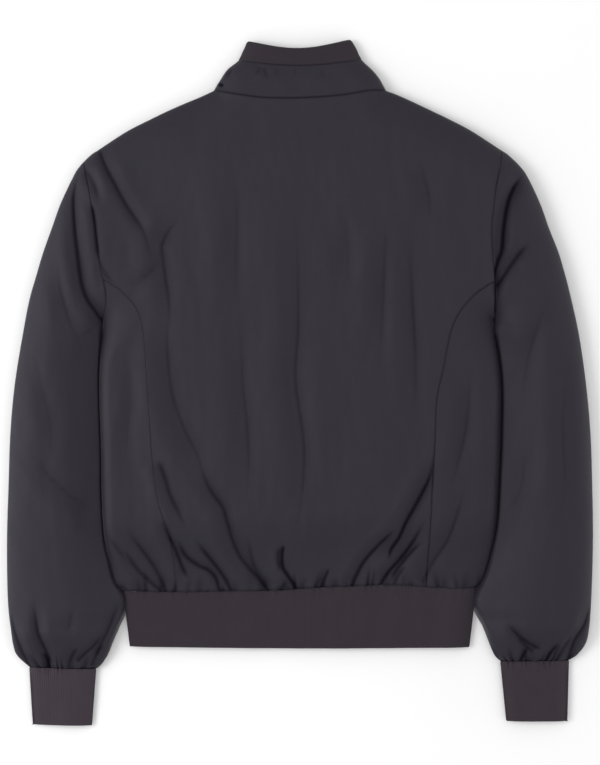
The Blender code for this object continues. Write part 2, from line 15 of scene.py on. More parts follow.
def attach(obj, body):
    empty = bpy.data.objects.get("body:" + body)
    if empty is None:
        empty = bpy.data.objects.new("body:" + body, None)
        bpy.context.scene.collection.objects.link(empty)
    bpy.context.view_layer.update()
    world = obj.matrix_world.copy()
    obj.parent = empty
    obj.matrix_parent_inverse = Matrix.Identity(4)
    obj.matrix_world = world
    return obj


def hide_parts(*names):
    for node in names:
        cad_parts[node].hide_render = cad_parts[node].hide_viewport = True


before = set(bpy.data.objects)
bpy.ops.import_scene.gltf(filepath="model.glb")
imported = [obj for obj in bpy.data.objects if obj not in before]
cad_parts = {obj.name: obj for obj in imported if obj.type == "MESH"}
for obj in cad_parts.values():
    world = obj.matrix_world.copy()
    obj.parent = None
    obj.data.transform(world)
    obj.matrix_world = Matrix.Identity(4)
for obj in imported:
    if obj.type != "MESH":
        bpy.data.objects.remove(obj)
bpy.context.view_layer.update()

MM = 0.001
LEFT, RIGHT = -1, 1
SIDE_NAME = {LEFT: "left", RIGHT: "right"}

# Heights above the surface, and the widths over which the two layers round off to a folded edge
CROWN = 30.0 * MM
NECK_CROWN = 25.0 * MM
BAND_CROWN = 13.0 * MM
EDGE_SHARE = 0.46
TOP_ROLL = 42.0 * MM
BODY_SIDE_ROLL = {LEFT: 14.0 * MM, RIGHT: 26.0 * MM}
SLEEVE_SIDE_ROLL = 26.0 * MM
SIDE_ROLL_CHANGE = (75.0 * MM, 20.0 * MM)  # the side's roll changes between these heights
UNDER_ROLL = 18.0 * MM
WIDEST_ROLL = 60 * MM
NECK_CHANGE = (250 * MM, 80 * MM)  # the crown changes to the neck's from here, over this length
BAND_RISE = {"body": 90 * MM, "sleeve": 45 * MM}  # the cloth reaches its crown this far above a band
FRONT_RISE = 5.0 * MM
FRONT_RISE_WIDTH = (14.0 * MM, 60.0 * MM)
FRONT_RISE_LENGTH = (285.0 * MM, 190.0 * MM)

SHELL_DEPTH = 1.0 * MM
KNIT_DEPTH = 1.8 * MM
FINE = 12  # fine steps for each of the frame's steps
SHOULDER_STEPS = 7 * FINE
NECK_STEPS = 10 * FINE
ARMHOLE_STEPS = 7 * FINE
SIDE_TOP_STEPS = 4 * FINE
BODY_STEPS = 170
SLEEVE_STEPS = 16 * FINE
STAND_FINE = 10
CLOSER_RINGS = 0.68  # how much closer than average a sleeve's rings stand at the armhole and the cuff

OUTLINE = [  # y, left x, right x
    (339, -100, 100), (332, -115, 118), (318, -148, 148), (304, -177, 177), (291, -202, 201),
    (270, -234, 233), (263, -244, 243), (249, -257, 257), (235, -265, 266), (207, -278, 279),
    (179, -288, 289), (151, -298, 300), (124, -306, 308), (96, -314, 315), (54, -322, 324),
    (-2, -331, 332), (-57, -336, 337), (-113, -338, 339), (-183, -340, 340), (-252, -339, 338),
    (-290, -335, 335), (-305, -333, 331), (-317, -329, 322),
]
CUFF_SEAM = {LEFT: ((-315, -331), (-237, -333)), RIGHT: ((313, -323), (233, -324))}
CUFF_END = {LEFT: ((-311, -398), (-242, -399)), RIGHT: ((311, -394), (240, -394))}
ARMHOLE = {
    LEFT: [(-250, 257), (-247, 240), (-243, 222), (-240, 204), (-236, 180), (-233, 155), (-230, 132),
           (-227, 118), (-224, 97), (-228, 75)],
    RIGHT: [(233, 270), (231, 250), (226, 225), (223, 200), (221, 177), (222, 150), (224, 125), (225, 100),
            (224, 75)],
}
SIDE_EDGE = {
    LEFT: [(-228, 75), (-233, 3), (-231, -78), (-230, -140), (-227, -184), (-222, -208), (-217, -230),
           (-212, -238), (-206, -242)],
    RIGHT: [(224, 75), (233, 3), (233, -60), (231, -110), (228, -162), (224, -191), (218, -217), (213, -230),
            (205, -238)],
}
BACK_SEAM = {
    LEFT: [(-226, 119), (-202, 102), (-183, 72), (-176, 3), (-172, -61), (-168, -107), (-162, -142),
           (-148, -188), (-143, -243)],
    RIGHT: [(224, 117), (198, 98), (177, 67), (165, 14), (158, -20), (156, -67), (153, -113),
            (151, -160), (146, -237)],
}
FRONT_SEAM = {
    LEFT: [(-227, 118), (-204, 90), (-194, 40), (-188, -60), (-180, -150), (-166, -242)],
    RIGHT: [(224, 117), (202, 88), (194, 40), (190, -60), (182, -150), (166, -239)],
}
SLEEVE_INNER = {
    LEFT: [(-228, 75), (-231, 62), (-235, 3), (-233, -78), (-232, -140), (-229, -184), (-224, -208),
           (-219, -232), (-209, -250), (-206, -272), (-217, -301), (-223, -316), (-231, -328), (-237, -333)],
    RIGHT: [(224, 75), (227, 62), (235, 3), (235, -60), (233, -110), (230, -162), (226, -191), (220, -217),
            (214, -237), (207, -252), (206, -266), (215, -290), (225, -315), (233, -324)],
}
HEM_SEAM = [(-206, -242), (-143, -243), (-84, -242), (-24, -241), (20, -238), (64, -236), (108, -235),
            (146, -237), (183, -241), (205, -238)]
HEM_END = [(-197, -307), (1, -309), (198, -308)]
NECK_SEAM = [(-100, 339), (-81, 335), (-57, 331), (-34, 329), (1, 329), (35, 331), (59, 334), (82, 338),
             (100, 339)]
FRONT_NECK = [(100, 339), (90, 312), (66, 287), (34, 272), (3.3, 268)]
CENTRE_EDGE = 3.3 * MM
TAPE_EDGE = 17.5 * MM
COLLAR = [  # left x, left y, right x, right y, dip of the back, y at the centre front, top height
    (-93, 351, 93, 352, 2, 282, 23),
    (-85, 363, 83, 364, 4, 294, 21),
    (-72, 374, 72, 375, 7, 306, 19),
    (-66, 386, 66, 387, 8, 318, 18),
    (-61, 397, 59, 399, 10, 329, 17),
]
STAND_SECTIONS = 3
COLLAR_ROLL = 30.0 * MM


def smooth_step(x):
    x = np.clip(x, 0.0, 1.0)
    return x * x * (3.0 - 2.0 * x)


def spline(rows, shares):
    """Points on a smooth curve through the rows of points, at the same shares of each span."""
    ends = np.concatenate([2 * rows[:1] - rows[1:2], rows, 2 * rows[-1:] - rows[-2:-1]])
    made = []
    for a, b, c, d in zip(ends[:-3], ends[1:-2], ends[2:-1], ends[3:]):
        made += [0.5 * (2 * b + (c - a) * t + (2 * a - 5 * b + 4 * c - d) * t**2
                        + (3 * b - a - 3 * c + d) * t**3) for t in shares]
    return [*made, rows[-1]]


class Line:
    """A smooth plan curve through a few points, read by its share of the length."""

    def __init__(self, points, per_span=12):
        shares = np.linspace(0.0, 1.0, per_span, endpoint=False)
        self.points = np.array(spline(np.array(points, float) * MM, shares))
        steps = np.linalg.norm(np.diff(self.points, axis=0), axis=1)
        self.length = steps.sum()
        self.share = np.concatenate([[0.0], np.cumsum(steps)]) / self.length

    def at(self, share):
        return np.stack([np.interp(share, self.share, self.points[:, k]) for k in (0, 1)], axis=-1)

    def share_at_y(self, y):
        return self.share[np.argmin(np.abs(self.points[:, 1] - y))]

    def nearest(self, xy, reach=None):
        """For plan points: distance, the curve's share, and which side of it (1 to its left)."""
        count = len(xy)
        far = 1.0 if reach is None else reach
        distance, share, hand = np.full(count, far), np.zeros(count), np.ones(count)
        low, high = self.points.min(axis=0) - far, self.points.max(axis=0) + far
        picked = np.flatnonzero(((xy > low) & (xy < high)).all(axis=1))
        a, b = self.points[:-1], self.points[1:]
        ab = b - a
        for some in np.array_split(picked, len(picked) // 20000 + 1):
            ap = xy[some][:, None, :] - a[None]
            along = np.clip((ap * ab).sum(-1) / (ab * ab).sum(-1), 0.0, 1.0)
            off = ap - along[..., None] * ab
            squared = (off * off).sum(-1)
            best = squared.argmin(axis=1)
            rows = np.arange(len(some))
            found = np.sqrt(squared[rows, best])
            offset = off[rows, best]
            distance[some] = np.minimum(found, far)
            share[some] = (self.share[best] + along[rows, best] * np.diff(self.share)[best])
            hand[some] = np.sign(ab[best, 0] * offset[:, 1] - ab[best, 1] * offset[:, 0])
        return distance, share, hand


def outline(side):
    column = 1 if side == LEFT else 2
    return Line([(row[column], row[0]) for row in OUTLINE] + [CUFF_SEAM[side][0]])


OUTER = {side: outline(side) for side in (LEFT, RIGHT)}
ARM = {side: Line(ARMHOLE[side]) for side in (LEFT, RIGHT)}
EDGE = {side: Line(SIDE_EDGE[side]) for side in (LEFT, RIGHT)}
INNER = {side: Line(SLEEVE_INNER[side]) for side in (LEFT, RIGHT)}
HEM_LINE = Line(HEM_SEAM)


def roll(distance, width):
    """0 at a folded edge, 1 from the roll's width on, along a quarter of an ellipse."""
    c = 1.0 - np.clip(distance / width, 0.0, 1.0)
    return np.sqrt(np.maximum(0.0, 1.0 - c * c))


def above_band(xy, is_sleeve):
    """Distance in Y above the knit band's seam."""
    if is_sleeve:
        seam_y = np.where(xy[:, 0] < 0, CUFF_SEAM[LEFT][0][1], CUFF_SEAM[RIGHT][0][1]) * MM
    else:
        seam_y = np.interp(xy[:, 0], HEM_LINE.points[:, 0], HEM_LINE.points[:, 1])
    return xy[:, 1] - seam_y


def crown(xy, is_sleeve):
    """Height of the upper layer away from its edges."""
    full = CROWN + (NECK_CROWN - CROWN) * smooth_step((xy[:, 1] - NECK_CHANGE[0]) / NECK_CHANGE[1])
    up = above_band(xy, is_sleeve) / BAND_RISE["sleeve" if is_sleeve else "body"]
    return BAND_CROWN + (full - BAND_CROWN) * smooth_step(up)


def front_rise(xy):
    whole, gone = FRONT_RISE_WIDTH
    across = smooth_step((gone - np.abs(xy[:, 0])) / (gone - whole))
    whole, gone = FRONT_RISE_LENGTH
    return FRONT_RISE * across * smooth_step((xy[:, 1] - gone) / (whole - gone))


def side_roll(y, side, is_sleeve):
    """Roll width at the sides: tighter below the underarm."""
    start, end = SIDE_ROLL_CHANGE
    changed = SLEEVE_SIDE_ROLL if is_sleeve else BODY_SIDE_ROLL[side]
    return TOP_ROLL + (changed - TOP_ROLL) * smooth_step((start - y) / (start - end))


def raised(plan, is_top, is_sleeve):
    """Plan points to points of the outer surface, and how far each is from a folded edge (0 to 1)."""
    shape = plan.shape[:-1]
    xy = plan.reshape(-1, 2)
    full = np.ones(len(xy))
    for side in (LEFT, RIGHT):
        for line, is_side in ((OUTER[side], False), (INNER[side] if is_sleeve else EDGE[side], True)):
            distance = line.nearest(xy, WIDEST_ROLL)[0]
            if not is_top:
                width = UNDER_ROLL
            else:
                width = side_roll(xy[:, 1], side, is_sleeve) if is_side else TOP_ROLL
            full *= roll(distance, width)
    height = crown(xy, is_sleeve)
    edge_height = EDGE_SHARE * height
    if is_top:
        z = edge_height + (height - edge_height) * full
    else:
        z = edge_height * (1.0 - full) + front_rise(xy) * full
    return np.column_stack([xy, z]).reshape(*shape, 3), full.reshape(shape)


def smooth_ease(steps, power):
    """Shares from 0 to 1, closer together near 0."""
    return (np.arange(steps + 1) / steps) ** power


def body_rows():
    """Shares from the hem to the armhole, closer together near the hem's folds."""
    return smooth_ease(BODY_STEPS, 1.5)


def coons(bottom, top, left, right):
    """Plan grid between four boundary rows that share their corners, spaced as the bottom and left are."""
    u = ((bottom[:, 0] - bottom[0, 0]) / (bottom[-1, 0] - bottom[0, 0]))[:, None, None]
    v = ((left[:, 1] - left[0, 1]) / (left[-1, 1] - left[0, 1]))[None, :, None]
    corners = ((1 - u) * (1 - v) * bottom[0] + u * (1 - v) * bottom[-1]
               + (1 - u) * v * top[0] + u * v * top[-1])
    return ((1 - v) * bottom[:, None] + v * top[:, None] + (1 - u) * left[None] + u * right[None]
            - corners)


def armhole_shares(side):
    seam = ARM[side].share_at_y(BACK_SEAM[side][0][1] * MM)
    upper = seam * smooth_ease(ARMHOLE_STEPS, 1.15)
    lower = 1.0 - (1.0 - seam) * smooth_ease(SIDE_TOP_STEPS, 1.25)[::-1]
    return upper, lower


def side_boundary(side, seam_points):
    """Hem to shoulder point along a side panel's seam and the armhole above it."""
    upper, _ = armhole_shares(side)
    arm = ARM[side].at(upper)[::-1]
    seam = Line(seam_points).at(1.0 - body_rows())
    seam[-1] = arm[0]
    return np.vstack([seam, arm[1:]])


def across_shares():
    slope = np.linspace(0.0, 0.28, SHOULDER_STEPS + 1)
    neck = np.linspace(0.28, 0.72, NECK_STEPS + 1)
    return np.concatenate([slope, neck[1:], 1.0 - slope[::-1][1:]])


def shoulder_row(side):
    end = OUTER[side].share_at_y(ARMHOLE[side][0][1] * MM)
    row = OUTER[side].at(np.linspace(end, 0.0, SHOULDER_STEPS + 1))
    row[0] = ARM[side].at(0.0)
    return row


def hem_row(from_x, to_x, shares):
    x = from_x + (to_x - from_x) * shares
    return np.column_stack([x, np.interp(x, HEM_LINE.points[:, 0], HEM_LINE.points[:, 1])])


def back_plan():
    left = side_boundary(LEFT, BACK_SEAM[LEFT])
    right = side_boundary(RIGHT, BACK_SEAM[RIGHT])
    neck = Line(NECK_SEAM).at(np.linspace(0.0, 1.0, NECK_STEPS + 1))
    top = np.vstack([shoulder_row(LEFT), neck[1:-1], shoulder_row(RIGHT)[::-1]])
    hem = hem_row(left[0][0], right[0][0], across_shares())
    left[0], right[0] = hem[0], hem[-1]
    return coons(hem, top, left, right)


def front_plan(side):
    """Grid from the side panel's seam (first column) to the centre front."""
    outer = side_boundary(side, FRONT_SEAM[side])
    half_neck = NECK_STEPS // 2
    neck = Line([(x * side, y) for x, y in FRONT_NECK]).at(np.linspace(0.0, 1.0, half_neck + 1))
    top = np.vstack([shoulder_row(side), neck[1:]])
    shares = across_shares()[:SHOULDER_STEPS + half_neck + 1] * 2.0
    hem = hem_row(outer[0][0], side * CENTRE_EDGE, shares)
    outer[0] = hem[0]
    rise = (outer[:, 1:] - outer[0, 1]) / (outer[-1, 1] - outer[0, 1])
    return coons(hem, top, outer, hem[-1] + (top[-1] - hem[-1]) * rise)


def side_plan(side, back_column, front_column):
    """Two plan grids, hem to armhole: back seam to folded edge, and edge to front seam."""
    rows = BODY_STEPS + 1
    edge = EDGE[side].at(1.0 - body_rows())
    _, lower = armhole_shares(side)
    arm = ARM[side].at(lower)
    shares = smooth_ease(SIDE_TOP_STEPS, 1.25)[::-1]
    grids = []
    for seam in (back_column[:rows], front_column[:rows]):
        grid = edge[None] + (seam - edge)[None] * shares[:, None, None]
        rise = body_rows()[None, :, None] ** 6
        grid += rise * (arm - grid[:, -1])[:, None]
        grids.append(grid)
    return grids[0], grids[1][::-1]


def sleeve_plan(side):
    """Columns from the outer edge to the inner one, rings from the armhole to the cuff."""
    upper, lower = armhole_shares(side)
    shares = np.concatenate([upper, lower[1:]])
    first = ARM[side].at(shares)
    chord = first[0] + (first[-1] - first[0]) * shares[:, None]
    ring = np.linspace(0.0, 1.0, SLEEVE_STEPS + 1)
    ring -= CLOSER_RINGS * np.sin(2.0 * math.pi * ring) / (2.0 * math.pi)
    start = OUTER[side].share_at_y(ARMHOLE[side][0][1] * MM)
    outer = OUTER[side].at(start + (1.0 - start) * ring)
    inner = INNER[side].at(ring**1.25)
    outer[0], inner[0] = first[0], first[-1]
    grid = outer[None] + (inner - outer)[None] * shares[:, None, None]
    return grid + ((1.0 - ring) ** 3)[None, :, None] * (first - chord)[:, None]


# Creases of the upper layer, listed from top to bottom. "both" also runs on across the armhole.
CREASES = [
    # where, soft depth, soft half width, core depth, shade, lean, fades at start, at end; points
    ("sleeve", 3.0, 8, 1.6, 0.68, -0.5, 0.25, 0.00, [(-250, 250), (-257, 238), (-261, 223), (-262, 206),
        (-260, 174), (-256, 139), (-252, 113), (-246, 96), (-236, 81), (-229, 70)]),
    ("both", 0.9, 4, 0.7, 0.60, -0.4, 0.20, 0.25, [(-242, 210), (-238, 192), (-235, 163), (-232, 137)]),
    ("both", 1.4, 6, 0.4, 0.30, 0.4, 0.20, 0.45, [(-249, 249), (-239, 232), (-234, 220), (-231, 203)]),
    ("sleeve", 2.5, 8, 0.6, 0.30, -0.3, 0.30, 0.50, [(-250, 254), (-243, 236), (-238, 222)]),
    ("sleeve", 1.8, 10, 0.4, 0.20, -0.5, 0.40, 0.50, [(-281, 150), (-276, 105), (-262, 60), (-246, 30)]),
    ("both", 1.4, 7, 1.1, 0.52, 0.5, 0.04, 0.60, [(-233, 270), (-224, 249), (-215, 232), (-207, 217),
        (-199, 203), (-190, 190), (-180, 174), (-173, 151), (-166, 130)]),
    ("body", 1.6, 8, 0.4, 0.25, -0.5, 0.40, 0.40, [(-236, 150), (-226, 128), (-212, 112)]),
    ("body", 1.5, 9, 0.3, 0.18, 0.5, 0.40, 0.50, [(-160, 142), (-178, 122), (-197, 108)]),
    ("body", 3.2, 11, 0.8, 0.35, -0.6, 0.25, 0.50, [(-136, 191), (-150, 177), (-159, 159), (-158, 142),
        (-155, 119), (-151, 90), (-150, 50)]),
    ("body", 3.0, 13, 0.6, 0.22, -0.6, 0.35, 0.20, [(-151, 90), (-153, 44), (-148, -9), (-137, -45),
        (-127, -67), (-118, -84), (-110, -110)]),
    ("body", 2.7, 9, 1.1, 0.48, -0.6, 0.30, 0.00, [(-118, -84), (-110, -110), (-101, -128), (-89, -145),
        (-83, -165), (-78, -183), (-69, -203), (-57, -217), (-46, -229), (-37, -240)]),
    ("body", 2.2, 13, 0.0, 0.12, -0.5, 0.50, 0.50, [(-76, 265), (-73, 200), (-74, 120), (-70, 60)]),
    ("body", 2.4, 13, 0.3, 0.18, -0.5, 0.50, 0.40, [(-70, 90), (-66, 3), (-60, -60), (-60, -110),
        (-68, -150)]),
    ("body", 2.6, 13, 0.5, 0.25, -0.5, 0.45, 0.30, [(-5, 215), (-2, 119), (-2, 61), (-5, 3), (3, -55),
        (5, -90), (0, -150), (-10, -190)]),
    ("body", 1.4, 12, 0.0, 0.08, -0.4, 0.50, 0.50, [(52, 210), (55, 142), (52, 90)]),
    ("body", 2.2, 11, 0.3, 0.20, -0.5, 0.50, 0.50, [(97, 205), (98, 165), (96, 96), (93, 20)]),
    ("body", 2.4, 11, 0.5, 0.24, -0.5, 0.45, 0.50, [(126, 190), (127, 140), (130, 96), (134, 3),
        (128, -60)]),
    ("body", 1.6, 10, 0.0, 0.14, -0.5, 0.50, 0.50, [(134, 264), (142, 240), (148, 215), (150, 180)]),
    ("body", 1.8, 9, 0.3, 0.20, -0.5, 0.45, 0.40, [(198, 20), (192, -50), (180, -100), (170, -130)]),
    ("body", 1.8, 8, 0.6, 0.28, -0.5, 0.40, 0.05, [(190, -120), (180, -156), (169, -185), (154, -208),
        (141, -234)]),
    ("body", 2.6, 8, 1.4, 0.85, -0.6, 0.35, 0.12, [(155, -78), (150, -107), (140, -129), (128, -151),
        (122, -162), (114, -180), (105, -194), (103, -208)]),
    ("body", 1.8, 6, 1.2, 0.65, -0.6, 0.25, 0.00, [(112, -168), (102, -177), (88, -191), (73, -209),
        (59, -236)]),
    ("body", 2.0, 6, 1.3, 0.75, -0.6, 0.40, 0.00, [(146, -156), (131, -183), (117, -203), (102, -220),
        (90, -237)]),
    ("body", 1.2, 5, 0.9, 0.45, -0.5, 0.30, 0.20, [(144, -182), (125, -200), (114, -215), (104, -230)]),
    ("body", 0.8, 4, 0.7, 0.35, -0.5, 0.40, 0.10, [(124, -211), (115, -222), (108, -234)]),
    ("body", 0.8, 4, 0.6, 0.50, -0.5, 0.30, 0.00, [(34, -214), (29, -226), (24, -239)]),
    ("body", 1.9, 7, 0.9, 0.42, -0.6, 0.12, 0.45, [(-164, -90), (-156, -110), (-150, -130), (-141, -148),
        (-134, -162), (-125, -173)]),
    ("body", 2.0, 6, 1.2, 0.55, -0.6, 0.25, 0.20, [(-160, -156), (-153, -174), (-144, -194),
        (-136, -215), (-128, -231)]),
    ("body", 2.0, 6, 1.1, 0.60, -0.5, 0.25, 0.00, [(-142, -180), (-133, -200), (-118, -212),
        (-107, -217), (-98, -226), (-93, -242)]),
    ("body", 1.8, 6, 1.1, 0.60, -0.6, 0.35, 0.00, [(-122, -180), (-113, -193), (-98, -212), (-86, -229),
        (-79, -242)]),
    ("body", 1.6, 6, 0.8, 0.40, -0.5, 0.35, 0.05, [(-206, -190), (-191, -214), (-176, -229), (-160, -241)]),
    ("body", 1.6, 6, 0.9, 0.45, -0.5, 0.45, 0.00, [(-203, -166), (-185, -191), (-170, -212),
        (-161, -229), (-155, -242)]),
    ("body", 0.8, 4, 0.3, 0.20, -0.5, 0.40, 0.50, [(-223, -176), (-206, -200), (-196, -216)]),
    ("body", 1.2, 5, 0.5, 0.25, -0.5, 0.40, 0.00, [(-62, -176), (-57, -197), (-52, -217), (-40, -236)]),
    ("body", 0.9, 4, 1.2, 0.80, -0.4, 0.10, 0.00, [(-19, -187), (-21, -200), (-20, -214), (-14, -224),
        (-7, -234), (-3, -242)]),
    ("body", 0.8, 3, 0.5, 0.35, 0.4, 0.30, 0.30, [(-24, -189), (-25, -204), (-22, -220)]),
    ("body", 0.8, 4, 0.5, 0.35, -0.4, 0.40, 0.00, [(-16, -228), (-20, -236), (-22, -242)]),
    ("body", 1.3, 9, 0.0, 0.08, 0.3, 0.50, 0.50, [(-200, 60), (-196, -10), (-200, -80), (-192, -140)]),
    ("sleeve", 4.0, 8, 1.8, 0.95, -0.6, 0.12, 0.00, [(258, 241), (246, 223), (239, 203), (235, 177),
        (233, 154), (228, 139), (224, 122), (224, 96), (225, 66)]),
    ("sleeve", 2.4, 7, 0.9, 0.60, -0.5, 0.30, 0.00, [(266, 162), (252, 147), (240, 130), (228, 112)]),
    ("sleeve", 2.0, 10, 0.3, 0.15, -0.4, 0.50, 0.50, [(290, 110), (276, 70), (262, 20), (256, -30)]),
    ("sleeve", 2.0, 11, 0.2, 0.15, -0.4, 0.45, 0.20, [(-316, -75), (-290, -108), (-262, -134),
        (-233, -152)]),
    ("sleeve", 1.6, 11, 0.0, 0.10, -0.3, 0.50, 0.50, [(-318, 60), (-300, 0), (-288, -60), (-296, -120)]),
    ("sleeve", 1.8, 11, 0.0, 0.12, -0.3, 0.50, 0.50, [(312, 40), (303, -40), (305, -120), (296, -180)]),
    ("sleeve", 1.4, 10, 0.0, 0.10, -0.3, 0.50, 0.20, [(262, -60), (256, -120), (240, -150)]),
    ("sleeve", 2.4, 7, 0.9, 0.50, 0.5, 0.45, 0.00, [(-307, -249), (-305, -270), (-302, -290),
        (-295, -307), (-291, -320), (-292, -332)]),
    ("sleeve", 0.8, 4, 0.9, 0.60, -0.4, 0.30, 0.00, [(-298, -311), (-293, -321), (-291, -332)]),
    ("sleeve", 1.4, 8, 0.2, 0.15, -0.4, 0.45, 0.40, [(-262, -258), (-265, -275), (-270, -293)]),
    ("sleeve", 1.4, 5, 0.8, 0.40, -0.4, 0.30, 0.00, [(-256, -305), (-264, -316), (-270, -332)]),
    ("sleeve", 1.6, 6, 0.7, 0.40, 0.4, 0.35, 0.10, [(-227, -290), (-238, -304), (-250, -315),
        (-259, -324)]),
    ("sleeve", 1.0, 4, 0.6, 0.35, 0.4, 0.30, 0.00, [(-226, -302), (-234, -313), (-241, -326)]),
    ("sleeve", 1.2, 5, 0.7, 0.35, 0.5, 0.40, 0.10, [(-211, -250), (-219, -279), (-229, -301),
        (-238, -318)]),
    ("sleeve", 1.6, 5, 0.8, 0.40, 0.6, 0.35, 0.00, [(-335, -262), (-331, -284), (-323, -308),
        (-313, -331)]),
    ("sleeve", 1.8, 6, 0.9, 0.50, -0.5, 0.35, 0.15, [(238, -277), (253, -293), (267, -303), (280, -310)]),
    ("sleeve", 1.0, 4, 0.6, 0.35, -0.5, 0.35, 0.20, [(249, -293), (262, -305), (272, -314)]),
    ("sleeve", 1.2, 5, 0.9, 0.60, 0.4, 0.35, 0.00, [(265, -304), (260, -314), (252, -325)]),
    ("sleeve", 1.4, 5, 0.9, 0.55, 0.4, 0.35, 0.00, [(300, -300), (293, -310), (284, -323)]),
    ("sleeve", 1.2, 5, 0.7, 0.35, 0.4, 0.35, 0.00, [(315, -290), (308, -303), (297, -322)]),
    ("sleeve", 2.0, 6, 0.9, 0.50, -0.6, 0.35, 0.00, [(337, -252), (329, -279), (318, -297), (311, -322)]),
    ("stand", 0.5, 4, 0.4, 0.16, -0.4, 0.20, 0.50, [(-46, 367), (-48, 361), (-50, 354)]),
    ("stand", 0.5, 4, 0.4, 0.20, -0.4, 0.20, 0.50, [(-42, 366), (-40, 359), (-36, 350)]),
    ("stand", 0.3, 3, 0.2, 0.06, -0.4, 0.20, 0.50, [(-25, 366), (-26, 358), (-28, 352)]),
    ("stand", 0.3, 3, 0.2, 0.06, 0.4, 0.20, 0.50, [(-4, 365), (-5, 359), (-8, 354)]),
    ("stand", 0.2, 3, 0.2, 0.05, 0.4, 0.30, 0.50, [(26, 364), (27, 356), (26, 350)]),
    ("stand", 0.7, 4, 0.5, 0.28, 0.4, 0.20, 0.50, [(-79, 363), (-83, 357), (-84, 351)]),
    ("stand", 1.0, 3, 1.0, 1.00, 0.0, 0.20, 0.30, [(-95, 347), (-92, 345), (-88, 344)]),
]
UNDER_CREASES = [  # the layer underneath, troughs that lift off the surface
    ("body", 2.4, 9, 0.8, 0.3, 0.5, 0.30, 0.00, [(-150, 120), (-140, 20), (-120, -90), (-80, -180),
        (-55, -241)]),
    ("body", 2.0, 8, 0.8, 0.3, -0.5, 0.30, 0.00, [(146, 90), (150, -20), (128, -120), (96, -190),
        (80, -239)]),
    ("body", 1.6, 7, 0.6, 0.3, 0.4, 0.40, 0.00, [(-172, -100), (-150, -170), (-118, -242)]),
    ("body", 1.8, 7, 0.7, 0.3, -0.4, 0.40, 0.00, [(166, -96), (146, -160), (122, -238)]),
    ("body", 1.6, 10, 0.0, 0.1, 0.3, 0.45, 0.45, [(-70, 230), (-62, 120), (-66, 10), (-52, -90)]),
    ("body", 1.6, 10, 0.0, 0.1, 0.3, 0.45, 0.45, [(76, 220), (64, 100), (70, -20), (50, -110)]),
    ("sleeve", 2.4, 8, 0.8, 0.3, -0.5, 0.40, 0.20, [(-270, 190), (-262, 140), (-244, 100)]),
    ("sleeve", 2.4, 8, 0.8, 0.3, 0.5, 0.40, 0.20, [(268, 200), (260, 150), (242, 108)]),
    ("sleeve", 2.0, 10, 0.4, 0.2, 0.3, 0.50, 0.50, [(-306, 40), (-292, -60), (-300, -160)]),
    ("sleeve", 2.0, 10, 0.4, 0.2, -0.3, 0.50, 0.50, [(300, 60), (292, -50), (298, -170)]),
    ("sleeve", 1.8, 6, 1.0, 0.4, 0.4, 0.40, 0.00, [(-300, -282), (-290, -330)]),
    ("sleeve", 1.8, 6, 1.0, 0.4, -0.4, 0.40, 0.00, [(252, -276), (264, -322)]),
]
CREASE_LINES = [(*row[:8], Line(row[8])) for row in CREASES]
UNDER_CREASE_LINES = [(*row[:8], Line(row[8])) for row in UNDER_CREASES]

GATHER_SEED = 41
HEM_GATHERS = 64  # small puckers on the way round, above the hem band
CUFF_GATHERS = 26
CORE_WIDTH = 2.1 * MM
# half width of a crease's painted dark line
LINE_WIDTH = 1.8 * MM
CREASE_REACH = 5.0  # a crease is looked for within this many of its widths
RIDGE_SHARE = 0.32  # its ridge's height as a share of its depth
SOFT_SHADE = 0.28  # painted shade over its whole width, as a share of its line's
LEAN_SKEW = 0.35
MOST_SHADE = 1.2


def creased(xy, is_top, here):
    """The listed creases' height, and the painted shade along them.

    Each is a soft trough with a narrow core, and a low ridge on the side that it leans to. Its painted shade
    is a dark line on the core and a softer band over its width, darker on the side away from the ridge.
    """
    height, shade = np.zeros(len(xy)), np.zeros(len(xy))
    for where, depth, width, core, dark, lean, fade_in, fade_out, line in (
            CREASE_LINES if is_top else UNDER_CREASE_LINES):
        if where != here and (where != "both" or here == "stand"):
            continue
        width = width * MM
        distance, share, hand = line.nearest(xy, CREASE_REACH * width)
        near = distance < (CREASE_REACH - 0.1) * width
        if not near.any():
            continue
        d, s, h = distance[near], share[near], hand[near]
        strength = smooth_step(s / fade_in) if fade_in else 1.0
        if fade_out:
            strength = strength * smooth_step((1.0 - s) / fade_out)
        beyond = (s <= 0.0) | (s >= 1.0)
        strength = strength * np.where(beyond, np.exp(-((d / width) ** 2)), 1.0)
        skew = d * (1.0 - LEAN_SKEW * lean * h)
        trough = depth * np.exp(-((skew / width) ** 2)) + core * np.exp(-((d / CORE_WIDTH) ** 2))
        ridge = RIDGE_SHARE * depth * (1.0 + lean * h) * np.exp(-(((d - 2.0 * width) / (1.1 * width)) ** 2))
        height[near] += strength * (ridge - trough) * MM
        soft = SOFT_SHADE * (1.0 - lean * h) * np.exp(-((d / width) ** 2))
        shade[near] += strength * dark * (np.exp(-((d / LINE_WIDTH) ** 2)) + soft)
    return (height if is_top else -height), np.minimum(shade, MOST_SHADE)


class Gathers:
    """Short puckers that stand on a band's seam, uneven in place, length and depth."""

    def __init__(self, count, seed):
        dice = random.Random(seed)
        steps = [dice.uniform(0.45, 1.7) for _ in range(count)]
        places = np.cumsum(steps) / sum(steps)
        self.rows = [(place, dice.uniform(0.25, 1.0) ** 1.4, dice.uniform(9, 30) * MM,
                      dice.uniform(0.10, 0.26), dice.uniform(-0.5, 0.5)) for place in places]
        self.pitch = 1.0 / count

    def height(self, around, above):
        """around is the share of the way round the seam, above the distance from it."""
        total = np.zeros(around.shape)
        for place, size, length, width, slant in self.rows:
            off = (around - place + 0.5) % 1.0 - 0.5 - slant * self.pitch * above / length
            fade = smooth_step(1.0 - above / length)
            total -= size * fade * np.exp(-((off / (width * self.pitch * 1.6)) ** 2))
        return total


